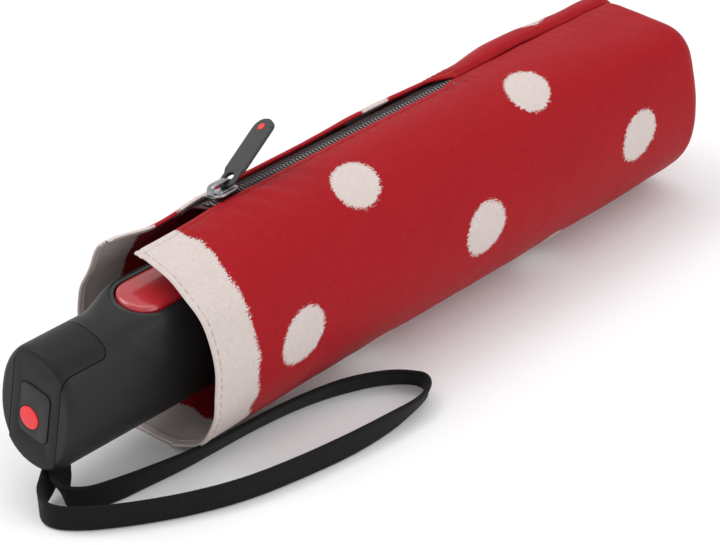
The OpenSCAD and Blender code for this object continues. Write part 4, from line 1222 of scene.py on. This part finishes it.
def make_canopy(materials):
    length = CANOPY_END_X - CANOPY_FRONT_X
    x = np.concatenate([np.linspace(0, 4, 6), np.linspace(4, length - 26, 90)[1:],
                        np.linspace(length - 26, length - 0.2, 26)[1:]]) + CANOPY_FRONT_X
    edge = np.linspace(0, 1, 18, endpoint=False)
    fractions = np.concatenate([edge * 0.9, np.linspace(0.9, 1.0, 7, endpoint=False)])
    panel = np.concatenate([(k + fractions) for k in range(PANELS)]) * 2 * math.pi / PANELS
    grid_x, angle = np.meshgrid(x, panel, indexing="ij")
    angle = angle - (grid_x - CANOPY_FRONT_X) / 150.0 * 2 * math.pi / PANELS
    radius = canopy_radius(grid_x, angle)
    back = ramp(grid_x, CANOPY_END_X - 27, CANOPY_END_X + 1)
    radius = radius * (1 - back) + 14.6 * back
    lip = 1 - ramp(grid_x, CANOPY_FRONT_X - 0.1, CANOPY_FRONT_X + 2.5)
    radius = radius - 1.2 * lip
    outer = np.stack([grid_x, radius * np.sin(angle), radius * np.cos(angle)], -1)
    inner_radius = np.minimum(radius - 2.6, 23.0)
    inner = np.stack([grid_x, inner_radius * np.sin(angle), inner_radius * np.cos(angle)], -1)
    faces = tube_faces(*grid_x.shape)
    uv = np.stack([grid_x, angle * 31.0], -1).reshape(-1, 2)
    points = in_umbrella(np.concatenate([outer.reshape(-1, 3), inner.reshape(-1, 3)]))
    bundle = make_object("canopy_bundle", points, faces, materials["canopy"], 50, np.concatenate([uv, uv]))
    finish_piece(bundle, "canopy_head", "canopy_cloth", "folded_canopy")


def make_tie(materials):
    """The strap round the rolled canopy, with a turned hem along each edge, and its press stud."""
    turns = np.linspace(0, 2 * math.pi, 180, endpoint=False)
    across = np.array([0, 0.25, 1.2, 1.5, 2.0, 3.5])
    width = TIE_SPAN[1] - TIE_SPAN[0]
    x = TIE_SPAN[0] + np.concatenate([across, np.linspace(5, width - 5, 4), width - across[::-1]])
    thickness = np.where((x < TIE_SPAN[0] + 1.6) | (x > TIE_SPAN[1] - 1.6), 0.75, 0.55)
    grid_x, angle = np.meshgrid(x, turns, indexing="ij")
    base = CANOPY_RADIUS - 0.75 + 0.1 * np.sin(3 * angle)
    outer = base + thickness[:, None]
    layers = [np.stack([grid_x, r * np.sin(angle), r * np.cos(angle)], -1) for r in (outer, base)]
    faces = tube_faces(*grid_x.shape)
    tie = make_object("canopy_tie_strap", in_umbrella(np.concatenate([p.reshape(-1, 3) for p in layers])),
                      faces, materials["tie"], 50)
    finish_piece(tie, "canopy_head", "canopy_cloth", "canopy_tie")

    low, high = node_box("tie_snap")
    centre = (low + high) / 2
    angle = math.atan2(centre[1], centre[2] - AXIS_Z)
    profile = [(5.0, 25.9), (5.0, 26.6), (4.7, 27.2), (4.1, 27.5), (3.4, 27.45), (3.0, 27.2), (2.6, 27.3),
               (1.9, 27.75), (1.0, 27.95), (0.0, 28.0)]
    ring = np.linspace(0, 2 * math.pi, 48, endpoint=False)
    points = []
    for radius, level in profile:
        side = radius * np.sin(ring)
        points += [*np.stack([centre[0] + radius * np.cos(ring), side, np.full(48, level)], -1)]
    points = turned(points, -angle, AXIS_Z)
    faces = grid_faces(len(profile), 48, close_columns=True) + [tuple(range(47, -1, -1))]
    stud = make_object("tie_press_stud", points, faces, materials["bright"], 40)
    finish_piece(stud, "canopy_head", "bright_steel", "tie_snap")


# ---------------------------------------------------------------- finishes of the CAD nodes that show

def finish_nodes(materials):
    finishes = {
        "black": ["strap_anchor", "rib_tip_cup", "lower_tube_ring", "crown", "crown_cap", "runner",
                  "rib_tips", "rib_knuckles"],
        "tube": ["lower_tube", "middle_tube", "upper_tube"],
        "bright": ["button_spring", "latch_lever", "latch_pin", "tube_pin", "main_spring", "crown_wire",
                   "runner_wire", "rib_rivets"],
        "rib": ["stretchers", "end_ribs",
                *[f"{row}_rib_{k}" for row in ("top", "middle") for k in range(1, PANELS + 1)]],
    }
    for key, names in finishes.items():
        for name in names:
            mesh = nodes[name].data
            mesh.materials.clear()
            mesh.materials.append(materials[key])


# ---------------------------------------------------------------- the whole

make_camera()
materials = make_materials()
make_strap(materials)
make_light()
make_floor()
case = make_case(materials)
panel = make_end_panel(materials)
make_case_stitches(materials)
make_zip(materials)
make_slider(materials)
make_pull(materials)
make_handle(materials)
make_canopy(materials)
make_tie(materials)
finish_nodes(materials)

bpy.context.view_layer.update()
